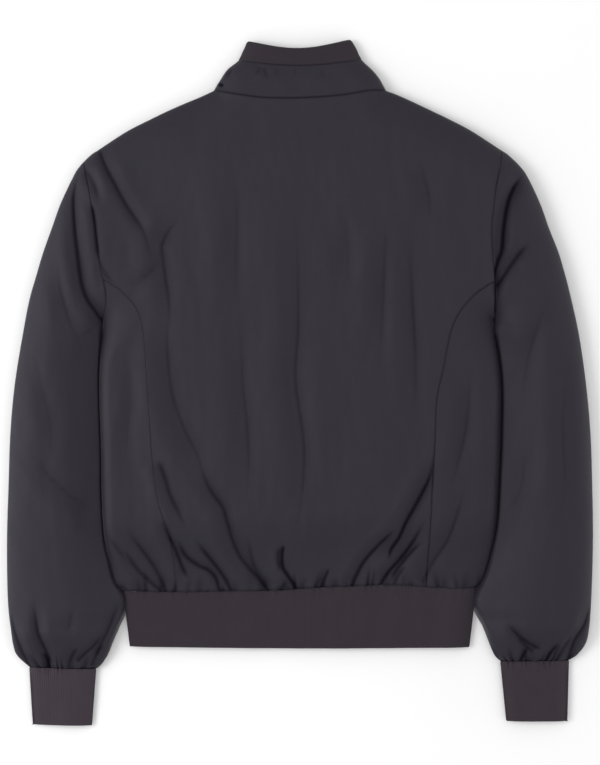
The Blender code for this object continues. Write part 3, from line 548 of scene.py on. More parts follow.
def softly_uneven(points, size, stretch, seed):
    """Low, wide unevenness of lying cloth, as heights from -1 to 1 or so."""
    offset = Vector((seed * 7.3, seed * 3.1, 0.0))
    flat = points.reshape(-1, 3)
    values = [noise.noise(Vector((x / size, y / (size * stretch), z / size)) + offset) for x, y, z in flat]
    return np.array(values).reshape(points.shape[:-1])


UNEVEN = 1.5 * MM
UNEVEN_SIZE = 42 * MM
WRINKLE = 0.35 * MM
WRINKLE_SIZE = 11 * MM
UNDER_SHARE = 0.25  # the layer underneath is pressed flat
PUFF = 3.0 * MM  # cloth blouses this far above the bands
PUFF_LENGTH = 26 * MM
PUFF_START = 5 * MM
OVERHANG = (0.5 * MM, 1.4 * MM)  # how far it sags over the band's seam: in a pucker, and more between two
OVERHANG_LENGTH = 3 * MM
SETTLED = 12 * MM  # creases and unevenness are whole this far above a band
STRETCH = 2.6  # unevenness is this much longer along the piece
GATHER_DEPTH = 2.2 * MM
# Painted shade in the puckers, at a band's seam and along the body's folded side edges
PUCKER_SHADE = 0.6
DEEPEST_SHADE = 1.55
BAND_SHADE = (0.4, 1.2 * MM)  # painted shade at a band's seam, and the width it fades over
EDGE_SHADE_FROM = (70 * MM, 20 * MM)  # painted shade darkens the body's folded side edges below here, over this length


def draped(plan, is_top, is_sleeve, gathers, around, seed):
    """Outer points of one piece with its creases, its puff above the knit band and its puckers.

    The second result is the painted shade in the creases and puckers, at the band's seam and along the body's
    folded side edges.
    """
    points, full = raised(plan, is_top, is_sleeve)
    xy = plan.reshape(-1, 2)
    here = "sleeve" if is_sleeve else "body"
    lift, shade = (values.reshape(full.shape) for values in creased(xy, is_top, here))
    above = np.maximum(above_band(xy, is_sleeve), 0.0).reshape(full.shape)
    uneven = (UNEVEN * softly_uneven(points, UNEVEN_SIZE, STRETCH, seed)
              + WRINKLE * softly_uneven(points, WRINKLE_SIZE, STRETCH, seed + 5))
    settled = smooth_step(above / SETTLED)
    pucker = GATHER_DEPTH * gathers.height(around, above)
    puff = PUFF * smooth_step(above / PUFF_START)
    puff *= smooth_step((PUFF_LENGTH * 2 - above) / (PUFF_LENGTH * 1.6))
    at_band = 0.45 + 0.55 * settled
    if is_top:
        between = 1.0 + np.clip(gathers.height(around, above), -1.0, 0.0)
        sag = above / OVERHANG_LENGTH * np.exp(1.0 - above / OVERHANG_LENGTH)
        points[..., 1] -= (OVERHANG[0] + OVERHANG[1] * between) * full * sag
        points[..., 2] += full * (lift * at_band + uneven * settled) + (0.35 + 0.65 * full) * (puff + pucker)
    else:
        rise = lift * at_band + UNDER_SHARE * np.abs(uneven) * settled - 0.5 * pucker
        points[..., 2] += full * rise + 0.35 * (1.0 - full) * (puff + pucker)
        points[..., 2] = np.maximum(points[..., 2], 0.0)
    shade = shade + PUCKER_SHADE * np.maximum(-gathers.height(around, above), 0.0)
    shade = np.minimum(shade + BAND_SHADE[0] * np.exp(-((above / BAND_SHADE[1]) ** 2)), MOST_SHADE)
    # painted shade darkens the body's folded side edges
    if not is_sleeve:
        start, length = EDGE_SHADE_FROM
        at_edge = smooth_step(1.0 - full / 0.6) * smooth_step((start - plan[..., 1]) / length)
        shade = np.maximum(shade, DEEPEST_SHADE * at_edge)
    return points, shade


def hem_around(plan, is_top):
    """Share of the way round the hem: the back from 0 to a half, the fronts from a half to 1."""
    low, high = HEM_SEAM[0][0] * MM, HEM_SEAM[-1][0] * MM
    share = (plan[..., 0] - low) / (high - low) / 2.0
    return share if is_top else 1.0 - share


def resampled(ring, count, closed):
    """The ring's points spread evenly along it: count steps."""
    path = np.vstack([ring, ring[:1]]) if closed else ring
    run = np.concatenate([[0.0], np.cumsum(np.linalg.norm(np.diff(path, axis=0), axis=1))])
    at = np.linspace(0.0, run[-1], count + 1)
    even = np.stack([np.interp(at, run, path[:, k]) for k in range(3)], axis=-1)
    return (even[:-1] if closed else even), run[-1]


def collar_ring(row, back_shares, front_shares):
    """One section of the collar: left centre front, left edge, back, right edge, right centre front."""
    left_x, left_y, right_x, right_y, dip, front_y, top_z = (value * MM for value in row)
    width = right_x - left_x
    edge_z = EDGE_SHARE * top_z
    across = np.asarray(back_shares)
    from_edge = np.minimum(across, 1.0 - across) * width
    x = left_x + width * across
    y = left_y + (right_y - left_y) * across - dip * np.sin(math.pi * across)
    back = np.column_stack([x, y, edge_z + (top_z - edge_z) * roll(from_edge, COLLAR_ROLL)])
    halves = []
    for side, edge_x, edge_y in ((LEFT, left_x, left_y), (RIGHT, right_x, right_y)):
        s = np.asarray(front_shares)
        x = edge_x + (side * CENTRE_EDGE - edge_x) * s
        y = edge_y + (front_y - edge_y) * smooth_step(s)
        full = roll(np.abs(x - edge_x), UNDER_ROLL)
        z = edge_z * (1.0 - full) + front_rise(np.column_stack([x, y])) * full
        halves.append(np.column_stack([x, y, z]))
    return np.vstack([halves[0][::-1], back[1:-1], halves[1]])


def face_normals(grid, closed, facing):
    """Unit normals at a grid's points."""
    if closed:
        across = np.roll(grid, -1, axis=0) - np.roll(grid, 1, axis=0)
    else:
        across = np.gradient(grid, axis=0)
    normal = np.cross(across, np.gradient(grid, axis=1)) * facing
    return normal / np.maximum(np.linalg.norm(normal, axis=-1, keepdims=True), 1e-12)


def from_edges(grid, closed):
    """Distance of each point from each of its grid's edges: first and last row, first and last column."""
    found = [np.linalg.norm(grid - grid[:, :1], axis=-1), np.linalg.norm(grid - grid[:, -1:], axis=-1)]
    if not closed:
        found += [np.linalg.norm(grid - grid[:1], axis=-1), np.linalg.norm(grid - grid[-1:], axis=-1)]
    return found


def grooved(grid, closed, facing, depths, width=1.2 * MM):
    """Sinks the cloth along its seams, where the edges are turned in and stitched."""
    normals = face_normals(grid, closed, facing)
    sunk = np.zeros(grid.shape[:2])
    for distance, depth in zip(from_edges(grid, closed), depths):
        sunk = np.maximum(sunk, depth * np.exp(-((distance / width) ** 2)))
    return grid - normals * sunk[..., None], sunk


RIB_PITCH = 2.6 * MM
RIB_HEIGHT = 0.13 * MM
RIB_COLUMNS = 6
END_ROUND = (2.2 * MM, 1.0 * MM)  # a band's folded end rounds off over this width, by this much
SEAM_DRAW = (1.2 * MM, 0.4 * MM)  # and its seam draws in over this width, by this much
RIB_FADE = (2.0 * MM, 2.5 * MM)  # the ribs fade out over these widths at the seam and at the end
BAND_CALM = 14 * MM  # the seam's puckers have gone at this distance
TOP_LAYER = 4 * MM  # what lies higher than this is the upper layer


def averaged(values, reach, closed):
    """Moving average over reach points on both sides."""
    padded = np.pad(values, reach, mode="wrap" if closed else "edge")
    return np.convolve(padded, np.ones(2 * reach + 1) / (2 * reach + 1), mode="valid")


def rib_columns(length):
    """Grid columns for an even number of ribs."""
    return int(round(length / RIB_PITCH / 2)) * 2 * RIB_COLUMNS


def with_ribs(grid, closed, facing):
    """Ribs that run from a knit band's seam to its free end, where it rounds off."""
    phase = 2.0 * math.pi * np.arange(len(grid)) / RIB_COLUMNS
    profile = np.sign(np.cos(phase)) * np.abs(np.cos(phase)) ** 0.7
    to_seam, to_end = from_edges(grid, True)
    rounding = 1.0 - np.clip(to_end / END_ROUND[0], 0.0, 1.0)
    inward = (END_ROUND[1] * (1.0 - np.sqrt(1.0 - rounding**2))
              + SEAM_DRAW[1] * np.exp(-((to_seam / SEAM_DRAW[0]) ** 2)))
    fade = smooth_step(to_seam / RIB_FADE[0]) * smooth_step(to_end / RIB_FADE[1])
    height = RIB_HEIGHT * profile[:, None] * fade - inward
    return grid + face_normals(grid, closed, facing) * height[..., None]


def ribbed_band(ring, end_of, closed, facing, lift, rows):
    """A knit band from a seam's ring to its free end, with ribs that run towards the end.

    end_of gives the free end's points for a ring's points. lift gives slow unevenness as a height in metres.
    """
    _, length = resampled(ring, 4, closed)
    even, _ = resampled(ring, rib_columns(length), closed)
    calm = even.copy()
    calm[:, 2] = averaged(even[:, 2], int(BAND_CALM / length * len(even)), closed)
    end = end_of(calm)
    near = np.array([0.0, 0.010, 0.024, 0.045])
    shares = np.concatenate([near, np.linspace(0.08, 0.92, rows - 7), 1.0 - near[::-1]])[None, :, None]
    settled = smooth_step(shares * 6.0)
    start = even[:, None] * (1.0 - settled) + calm[:, None] * settled
    grid = start * (1.0 - shares) + end[:, None] * shares
    to_seam = from_edges(grid, True)[0]
    grid = with_ribs(grid, closed, facing)
    top = grid[..., 2] > TOP_LAYER
    grid[..., 2] += np.where(top, lift(grid), 0.0) * smooth_step(to_seam / BAND_CALM)
    return grid


BAND_WAVES = 1.1 * MM
END_HEIGHT = 0.92  # a band's free end lies this much lower than its seam


def slow_waves(seed, size=38 * MM):
    def lift(grid):
        return BAND_WAVES * softly_uneven(grid, size, 1.0, seed)
    return lift


def hem_end(ring):
    """The hem band's free end: narrower than its seam, except along the zip."""
    low, high = HEM_SEAM[0][0] * MM, HEM_SEAM[-1][0] * MM
    narrow = (HEM_END[-1][0] - HEM_END[0][0]) * MM / (high - low)
    shrink = 1.0 + (narrow - 1.0) * smooth_step((np.abs(ring[:, 0]) - TAPE_EDGE) / (20 * MM))
    x = ring[:, 0] * shrink
    end = Line(HEM_END)
    return np.column_stack([x, np.interp(x, end.points[:, 0], end.points[:, 1]), ring[:, 2] * END_HEIGHT])


def cuff_end(side):
    seam_outer, seam_inner = CUFF_SEAM[side]
    end_outer, end_inner = CUFF_END[side]

    def of(ring):
        share = (ring[:, 0] / MM - seam_outer[0]) / (seam_inner[0] - seam_outer[0])
        x = (end_outer[0] + (end_inner[0] - end_outer[0]) * share) * MM
        y = (end_outer[1] + (end_inner[1] - end_outer[1]) * share) * MM
        return np.column_stack([x, y, ring[:, 2] * END_HEIGHT])
    return of


MEETING_RINGS = 24.0  # the sleeve leaves the body's armhole points over these


def sleeve_rings(side, body_ring):
    """A sleeve as a tube of rings that starts on the body's armhole points."""
    plan = sleeve_plan(side)
    upper, lower = armhole_shares(side)
    half_way = np.concatenate([upper, lower[1:]])[:, None] / 2.0 * np.ones(plan.shape[1])
    gathers = Gathers(CUFF_GATHERS, GATHER_SEED + 5 + side)
    top, top_shade = draped(plan, True, True, gathers, half_way, 3)
    under, under_shade = draped(plan, False, True, gathers, 1.0 - half_way, 3)
    tuck_under(side, plan, top, under)
    rings = np.vstack([top, under[-2:0:-1]])
    meeting = 1.0 - smooth_step(np.arange(rings.shape[1]) / MEETING_RINGS)
    rings += meeting[None, :, None] * (body_ring - rings[:, 0])[:, None]
    return rings, np.vstack([top_shade, under_shade[-2:0:-1]])


TUCK_EDGE = 1.6 * MM  # height of the sleeve's inner edge where it lies under the body's side
TUCK_RISE = {LEFT: 5.0 * MM, RIGHT: 6.0 * MM}  # the sleeve comes up steeply over this width
TUCK_SLOPE = 60.0 * MM  # and goes on gently over this one
TUCK_TOP = (76 * MM, 50 * MM)  # the tuck starts below here and is whole after this length
TUCK_BOTTOM = (318 * MM, 46 * MM)  # it ends this far below the origin, over this length
TUCK_PUSH = [(76, 0.0), (64, 3.0), (40, 6.0), (-10, 7.0), (-218, 7.0), (-230, 8.5), (-241, 10.5), (-252, 8.0),
             (-264, 3.5), (-282, 0.0)]  # y, mm towards the body


def tuck_under(side, plan, top, under):
    """Slopes the sleeve down to its inner edge and slips that edge under the body's rounded side."""
    xy = plan.reshape(-1, 2)
    distance = INNER[side].nearest(xy, TUCK_SLOPE)[0].reshape(plan.shape[:2])
    y = plan[..., 1]
    whole = (smooth_step((TUCK_TOP[0] - y) / TUCK_TOP[1])
             * smooth_step((y + TUCK_BOTTOM[0]) / TUCK_BOTTOM[1]))
    height = crown(xy, True).reshape(y.shape)
    edge = EDGE_SHARE * height
    near = np.minimum(distance / SLEEVE_SIDE_ROLL, 1.0)
    slope = np.sin(0.5 * math.pi * distance / TUCK_SLOPE)
    rise = np.sin(0.5 * math.pi * np.minimum(distance / TUCK_RISE[side], 1.0))
    top[..., 2] -= whole * ((roll(near, 1.0) - slope) * (height - edge) + (edge - TUCK_EDGE) * (1.0 - rise))
    under[..., 2] *= 1.0 - whole * (1.0 - TUCK_EDGE / edge)
    rows = np.array(TUCK_PUSH[::-1]) * MM
    push = np.interp(y, rows[:, 0], rows[:, 1]) * (1.0 - near) ** 2
    top[..., 0] -= side * push
    under[..., 0] -= side * push


def cloth_grids():
    """Every cloth piece as a grid of outer points: {name: (grid, closed, facing, shade)}."""
    found = {}
    gathers = Gathers(HEM_GATHERS, GATHER_SEED)
    plan = back_plan()
    back, shade = draped(plan, True, False, gathers, hem_around(plan, True), 3)
    found["back"] = (back, False, 1, shade)
    hem_parts, neck_parts = {}, {}
    for side in (LEFT, RIGHT):
        name = SIDE_NAME[side]
        front_flat = front_plan(side)
        front, shade = draped(front_flat, False, False, gathers, hem_around(front_flat, False), 3)
        found["front_" + name] = (front, False, side, shade)
        top_flat, under_flat = side_plan(side, plan[0] if side == LEFT else plan[-1], front_flat[0])
        top, top_shade = draped(top_flat, True, False, gathers, hem_around(top_flat, True), 3)
        under, under_shade = draped(under_flat, False, False, gathers, hem_around(under_flat, False), 3)
        panel = np.vstack([top, under[1:]])
        found["side_panel_" + name] = (panel, False, side, np.vstack([top_shade, under_shade[1:]]))
        column = back[0] if side == LEFT else back[-1]
        ring = np.vstack([column[BODY_STEPS:][::-1], panel[1:-1, -1], front[0, BODY_STEPS:][:-1]])
        sleeve, shade = sleeve_rings(side, ring)
        found["sleeve_" + name] = (sleeve, True, side, shade)
        cuff = ribbed_band(sleeve[:, -1], cuff_end(side), True, side, slow_waves(11 + side), 19)
        found["cuff_" + name] = (cuff, True, side, None)
        hem_parts[side] = np.vstack([panel[:, 0], front[1:, 0]])
        neck_parts[side] = front[SHOULDER_STEPS:, -1]
    hem = np.vstack([hem_parts[LEFT][::-1], back[1:-1, 0], hem_parts[RIGHT]])
    found["hem_rib"] = (ribbed_band(hem, hem_end, False, -1, slow_waves(21), 19), False, -1, None)
    neck = np.vstack([neck_parts[LEFT][::-1], back[SHOULDER_STEPS + 1:-SHOULDER_STEPS - 1, -1],
                      neck_parts[RIGHT]])
    add_collar(found, neck)
    return found


def add_collar(found, neck):
    back_shares = np.linspace(0.0, 1.0, NECK_STEPS + 1)
    front_shares = np.linspace(0.0, 1.0, NECK_STEPS // 2 + 1)
    sections = np.array([neck] + [collar_ring(row, back_shares, front_shares) for row in COLLAR])
    rings = np.stack(spline(sections, np.linspace(0.0, 1.0, STAND_FINE, endpoint=False)), axis=1)
    stand = rings[:, :STAND_SECTIONS * STAND_FINE + 1]
    rise = np.linspace(0.0, 1.0, stand.shape[1])
    top = smooth_step((stand[..., 2] - 6 * MM) / (6 * MM))
    # the stand's creases and their painted shade, kept on its upper part
    found_here = creased(stand[..., :2].reshape(-1, 2), True, "stand")
    lift, shade = (values.reshape(top.shape) for values in found_here)
    uneven = softly_uneven(stand, 24 * MM, 1.0, 8) * smooth_step(4 * rise) * smooth_step(4 * (1 - rise))
    normals = face_normals(stand, False, 1)
    stand = stand + normals * (top * (lift + 0.9 * MM * uneven))[..., None]
    found["collar_stand"] = (stand, False, 1, shade * top)
    found["collar_rib"] = (ribbed_collar(rings[:, STAND_SECTIONS * STAND_FINE:]), False, 1, None)


def ribbed_collar(rings):
    """The collar's knit edge on its own rings, with ribs across it."""
    columns = []
    _, length = resampled(rings[:, 0], 4, False)
    for j in range(0, rings.shape[1], 2):
        columns.append(resampled(rings[:, j], rib_columns(length), False)[0])
    grid = np.stack(columns, axis=1)
    return with_ribs(grid, False, 1)


SEAM_SHADE = 2.5  # painted shade along a seam, for each millimetre of its depth
SEAM_DEPTHS = {  # first row's edge, last row's edge, then the first and last columns'
    "back": (0.1, 0.2, 0.06, 0.16), "front_left": (0.3, 0.2, 0.1, 0.2), "front_right": (0.3, 0.2, 0.1, 0.2),
    "side_panel_left": (0.1, 0.2, 0.06, 0.1), "side_panel_right": (0.1, 0.2, 0.16, 0.1),
    "sleeve_left": (0.2, 0.3), "sleeve_right": (0.2, 0.3), "collar_stand": (0.2, 0.2, 0.2, 0.2),
}


def loops_of(columns, rows, closed):
    """Border loops as (column, row) pairs, in steps of one."""
    low = [(i, 0) for i in range(columns)]
    high = [(i, rows - 1) for i in range(columns)][::-1]
    if closed:
        return [low + low[:1], high[-1:] + high]
    return [low + [(columns - 1, j) for j in range(1, rows)] + high[1:]
            + [(0, j) for j in range(rows - 2, -1, -1)]]


def quads(columns, rows, closed):
    i = np.arange(columns if closed else columns - 1)[:, None]
    j = np.arange(rows - 1)[None, :]
    k = (i + 1) % columns
    return np.stack([i * rows + j, k * rows + j, k * rows + j + 1, i * rows + j + 1], axis=-1).reshape(-1, 4)


def shell(name, grid, closed, facing, depth, material, shade=None):
    """A thin closed shell: fine outer side, inner side at half the fineness, and rims."""
    columns, rows = grid.shape[:2]
    normals = face_normals(grid, closed, facing)
    inner = (grid - normals * depth)[::2, ::2]
    count = columns * rows
    inner_rows = inner.shape[1]
    points = np.vstack([grid.reshape(-1, 3), inner.reshape(-1, 3)])
    faces = quads(columns, rows, closed).tolist()
    faces += (quads(inner.shape[0], inner_rows, closed)[:, ::-1] + count).tolist()
    smooth = len(faces)
    for loop in loops_of(columns, rows, closed):
        outer_at = [i % columns * rows + j for i, j in loop]
        inner_at = [i % columns // 2 * inner_rows + j // 2 + count for i, j in loop]
        for k in range(0, len(loop) - 2, 2):
            a, b = inner_at[k], inner_at[k + 2]
            o = outer_at[k:k + 3]
            faces += [[o[1], o[0], a], [o[1], a, b], [o[2], o[1], b]]
    if facing < 0:
        faces = [face[::-1] for face in faces]
    u = np.zeros((columns, rows))
    u[1:] = np.cumsum(np.linalg.norm(np.diff(grid, axis=0), axis=-1), axis=0)
    v = np.zeros((columns, rows))
    v[:, 1:] = np.cumsum(np.linalg.norm(np.diff(grid, axis=1), axis=-1), axis=1)
    u -= u[len(u) // 2]
    uv = np.stack([u, v], axis=-1)
    spread = np.vstack([uv.reshape(-1, 2), uv[::2, ::2].reshape(-1, 2)])
    made = mesh_object(name, points, faces, material, spread)
    is_smooth = np.arange(len(faces)) < smooth
    made.data.polygons.foreach_set("use_smooth", is_smooth)
    # painted shade for the material, on the outer points only
    if shade is not None:
        layer = made.data.attributes.new("crease_shade", "FLOAT", "POINT")
        layer.data.foreach_set("value", np.concatenate([shade.ravel(), np.zeros(inner.size // 3)]))
    return made


def mesh_object(name, points, faces, material, uv=None):
    mesh = bpy.data.meshes.new(name)
    mesh.from_pydata(np.asarray(points).tolist(), [], faces)
    if uv is not None:
        corners = np.empty(len(mesh.loops), dtype=np.int32)
        mesh.loops.foreach_get("vertex_index", corners)
        layer = mesh.uv_layers.new(name="metres")
        layer.data.foreach_set("uv", uv[corners].ravel())
    mesh.shade_smooth()
    mesh.materials.append(material)
    made = bpy.data.objects.new(name, mesh)
    bpy.context.collection.objects.link(made)
    return made


GLOSS = 0.25


class Shading:
    """Node helper for one material."""

    def __init__(self, name, roughness, metallic=0.0):
        self.made = bpy.data.materials.new(name)
        self.made.use_nodes = True
        self.tree = self.made.node_tree
        self.shader = self.tree.nodes["Principled BSDF"]
        self.shader.inputs["Roughness"].default_value = roughness
        self.shader.inputs["Metallic"].default_value = metallic
        self.shader.inputs["Specular IOR Level"].default_value = GLOSS

    def node(self, kind, **values):
        made = self.tree.nodes.new(kind)
        for key, value in values.items():
            if key in made.inputs:
                made.inputs[key].default_value = value
            else:
                setattr(made, key, value)
        return made

    def link(self, a, b):
        self.tree.links.new(a, b)

    def scaled(self, source, scale):
        """Texture coordinates times a scale for each axis."""
        made = self.node("ShaderNodeVectorMath", operation="MULTIPLY")
        made.inputs[1].default_value = scale
        self.link(source, made.inputs[0])
        return made.outputs[0]

    def noise(self, coordinates, scale, detail=2.0):
        made = self.node("ShaderNodeTexNoise", Scale=1.0, Detail=detail)
        self.link(self.scaled(coordinates, scale), made.inputs["Vector"])
        return made.outputs["Fac"]

    def mapped(self, value, low, high):
        made = self.node("ShaderNodeMapRange")
        made.inputs["From Min"].default_value = 0.25
        made.inputs["From Max"].default_value = 0.75
        made.inputs["To Min"].default_value = low
        made.inputs["To Max"].default_value = high
        self.link(value, made.inputs["Value"])
        return made.outputs["Result"]

    def maths(self, operation, a, b):
        made = self.node("ShaderNodeMath", operation=operation)
        for socket, value in zip(made.inputs, (a, b)):
            if isinstance(value, float):
                socket.default_value = value
            else:
                self.link(value, socket)
        return made.outputs[0]

    def colour(self, base, *shades):
        """Base colour times each of the shades."""
        last = None
        for shade in shades:
            last = shade if last is None else self.maths("MULTIPLY", last, shade)
        made = self.node("ShaderNodeMix", data_type="RGBA", blend_type="MULTIPLY")
        made.inputs[0].default_value = 1.0
        made.inputs[6].default_value = (*base, 1.0)
        self.link(last, made.inputs[7])
        self.link(made.outputs[2], self.shader.inputs["Base Color"])

    def bump(self, height, distance, strength=1.0):
        made = self.node("ShaderNodeBump", Strength=strength, Distance=distance)
        self.link(height, made.inputs["Height"])
        self.link(made.outputs["Normal"], self.shader.inputs["Normal"])

    def sheen(self, weight, roughness):
        self.shader.inputs["Sheen Weight"].default_value = weight
        self.shader.inputs["Sheen Roughness"].default_value = roughness


SHELL_BASE = (0.0157, 0.0134, 0.0212)
KNIT_BASE = (0.0300, 0.0225, 0.0300)
# how much the painted shade of the crease_shade attribute darkens the base colour
PAINTED_SHADE_STRENGTH = 0.56
SHELL_SHEEN = 0.30
THREAD = 0.42 * MM
SLUB_SIZE = (16 * MM, 0.9 * MM)


def shell_material():
    shade = Shading("cloth_shell", 0.58)
    uv = shade.node("ShaderNodeTexCoord").outputs["UV"]
    slubs = shade.noise(uv, (1 / SLUB_SIZE[0], 1 / SLUB_SIZE[1], 1.0), 1.0)
    warp = shade.noise(uv, (1 / (0.8 * MM), 1 / (9 * MM), 1.0), 1.0)
    patches = shade.noise(uv, (18.0, 26.0, 1.0), 2.0)
    # Painted shade: the crease_shade attribute darkens the base colour and takes specular gloss and sheen out
    # of creases, puckers, seams and folded edges
    creases = shade.node("ShaderNodeAttribute", attribute_name="crease_shade").outputs["Fac"]
    painted_shade_factor = shade.maths("SUBTRACT", 1.0, shade.maths("MULTIPLY", creases, PAINTED_SHADE_STRENGTH))
    shade.colour(SHELL_BASE, shade.mapped(slubs, 0.90, 1.10), shade.mapped(warp, 0.95, 1.05),
                 shade.mapped(patches, 0.96, 1.04), painted_shade_factor)
    gloss_left_by_painted_shade = shade.maths("SUBTRACT", 1.0, shade.maths("MULTIPLY", creases, 0.7))
    gloss_left_by_painted_shade.node.use_clamp = True
    shade.link(shade.maths("MULTIPLY", gloss_left_by_painted_shade, GLOSS), shade.shader.inputs["Specular IOR Level"])
    shade.link(shade.maths("ADD", 1.0, shade.maths("MULTIPLY", gloss_left_by_painted_shade, 0.5)), shade.shader.inputs["IOR"])
    across = shade.node("ShaderNodeTexWave", wave_type="BANDS", bands_direction="X", Scale=1.0)
    shade.link(shade.scaled(uv, (math.pi / (10 * THREAD), 1.0, 1.0)), across.inputs["Vector"])
    along = shade.node("ShaderNodeTexWave", wave_type="BANDS", bands_direction="Y", Scale=1.0)
    shade.link(shade.scaled(uv, (1.0, math.pi / (10 * THREAD), 1.0)), along.inputs["Vector"])
    weave = shade.maths("MULTIPLY", across.outputs["Fac"], along.outputs["Fac"])
    shade.bump(shade.maths("ADD", weave, shade.maths("MULTIPLY", slubs, 0.8)), 0.06 * MM, 0.55)
    shade.link(shade.mapped(patches, 0.54, 0.62), shade.shader.inputs["Roughness"])
    shade.sheen(SHELL_SHEEN, 0.30)
    shade.link(shade.maths("MULTIPLY", gloss_left_by_painted_shade, SHELL_SHEEN), shade.shader.inputs["Sheen Weight"])
    return shade.made


def knit_material(name, tone):
    """tone scales the piece's lightness: the bands differ a little."""
    shade = Shading(name, 0.85)
    uv = shade.node("ShaderNodeTexCoord").outputs["UV"]
    fuzz = shade.noise(uv, (1 / (0.7 * MM), 1 / (1.1 * MM), 1.0), 2.0)
    worn = shade.noise(uv, (30.0, 40.0, 1.0), 2.0)
    shade.colour(KNIT_BASE, shade.mapped(fuzz, 0.86 * tone, 1.14 * tone), shade.mapped(worn, 0.95, 1.05))
    rows = shade.node("ShaderNodeTexWave", wave_type="BANDS", bands_direction="Y", Scale=1.0, Distortion=0.6)
    shade.link(shade.scaled(uv, (1.0, math.pi / (10 * 1.3 * MM), 1.0)), rows.inputs["Vector"])
    shade.bump(shade.maths("ADD", rows.outputs["Fac"], fuzz), 0.12 * MM, 0.5)
    shade.sheen(0.05, 0.5)
    return shade.made


def tape_material():
    shade = Shading("zip_tape_cloth", 0.75)
    uv = shade.node("ShaderNodeTexCoord").outputs["UV"]
    wave = shade.node("ShaderNodeTexWave", wave_type="BANDS", bands_direction="DIAGONAL", Scale=1.0)
    shade.link(shade.scaled(uv, (math.pi / (10 * 1.1 * MM), math.pi / (10 * 1.1 * MM), 1.0)),
               wave.inputs["Vector"])
    shade.colour((0.020, 0.019, 0.022), shade.mapped(wave.outputs["Fac"], 0.85, 1.15))
    shade.bump(wave.outputs["Fac"], 0.08 * MM, 0.5)
    return shade.made


def metal_material():
    shade = Shading("zip_metal", 0.36, 1.0)
    place = shade.node("ShaderNodeTexCoord").outputs["Object"]
    wear = shade.noise(place, (900.0, 900.0, 900.0), 2.0)
    shade.colour((0.105, 0.105, 0.115), shade.mapped(wear, 0.9, 1.1))
    shade.link(shade.mapped(wear, 0.30, 0.44), shade.shader.inputs["Roughness"])
    return shade.made


def floor_material():
    """White to what looks down on it, and clear from below."""
    made = bpy.data.materials.new("floor_white")
    made.use_nodes = True
    tree = made.node_tree
    tree.nodes.clear()
    white = tree.nodes.new("ShaderNodeBsdfDiffuse")
    white.inputs["Color"].default_value = (0.90, 0.90, 0.90, 1.0)
    clear = tree.nodes.new("ShaderNodeBsdfTransparent")
    path = tree.nodes.new("ShaderNodeLightPath")
    facing = tree.nodes.new("ShaderNodeNewGeometry")
    front = tree.nodes.new("ShaderNodeMath")
    front.operation = "SUBTRACT"
    front.use_clamp = True
    mix = tree.nodes.new("ShaderNodeMixShader")
    out = tree.nodes.new("ShaderNodeOutputMaterial")
    tree.links.new(path.outputs["Is Camera Ray"], front.inputs[0])
    tree.links.new(facing.outputs["Backfacing"], front.inputs[1])
    tree.links.new(front.outputs[0], mix.inputs[0])
    tree.links.new(clear.outputs[0], mix.inputs[1])
    tree.links.new(white.outputs[0], mix.inputs[2])
    tree.links.new(mix.outputs[0], out.inputs["Surface"])
    return made


TAPE_DEPTH = 0.8 * MM
TOOTH_PITCH = 2.6 * MM
TOOTH_LENGTH = 1.5 * MM
TOOTH_DEPTH = 2.0 * MM
TOOTH_SECTIONS = [(3.0 * MM, 1.0), (0.2 * MM, 1.0), (-0.9 * MM, 0.55)]  # from the centre, share of its size
TAPE_GRID = (9, 181)
TAPE_HEIGHT = 2.2 * MM
TEETH_HEIGHT = 1.2 * MM


def centre_path(grids):
    """Height over Y of the fronts' centre edge, from the hem's end to the collar's."""
    hem = grids["hem_rib"][0][-1, ::-1]
    front = grids["front_right"][0][-1]
    stand = grids["collar_stand"][0][-1]
    rib = grids["collar_rib"][0][-1]
    path = np.vstack([hem, front[1:], stand[1:], rib[1:]])
    return path[np.argsort(path[:, 1])]


def zip_tape(side, path, material):
    y = np.linspace(path[0, 1] + 1 * MM, path[-1, 1] - 1 * MM, TAPE_GRID[1])
    z = front_rise(np.column_stack([np.zeros(len(y)), y])) + TAPE_HEIGHT
    x = side * np.linspace(TAPE_EDGE, CENTRE_EDGE, TAPE_GRID[0])
    grid = np.stack([np.broadcast_to(values, TAPE_GRID) for values in (x[:, None], y, z)], axis=-1)
    return shell("tape_" + SIDE_NAME[side], grid, False, side, TAPE_DEPTH, material)


def zip_teeth(path, material):
    """Closed teeth, left and right in turn, each a small block with a narrow head."""
    points, faces = [], []
    count = int((path[-1, 1] - path[0, 1] - 4 * MM) / TOOTH_PITCH * 2)
    for k in range(count):
        side = LEFT if k % 2 else RIGHT
        y = path[0, 1] + 2 * MM + k * TOOTH_PITCH / 2
        z = front_rise(np.array([[0.0, y]]))[0] + TEETH_HEIGHT
        first = len(points)
        for x, narrow in TOOTH_SECTIONS:
            for dy, dz in ((-1, -1), (1, -1), (1, 1), (-1, 1)):
                off_y = dy * narrow * TOOTH_LENGTH * 0.42
                points.append((side * x, y + off_y, z + dz * narrow * TOOTH_DEPTH / 2))
        rings = [[first + 4 * r + c for c in range(4)] for r in range(3)]
        made = [rings[0], rings[2][::-1]]
        for a, b in ((0, 1), (1, 2)):
            for c in range(4):
                d = (c + 1) % 4
                made.append([rings[a][c], rings[b][c], rings[b][d], rings[a][d]])
        faces += made if side == LEFT else [face[::-1] for face in made]
    made = mesh_object("zip_teeth", points, faces, material)
    made.data.shade_flat()
    return made


KNIT_TONES = {"hem_rib": 0.88, "collar_rib": 0.77, "cuff_left": 1.25, "cuff_right": 1.02}


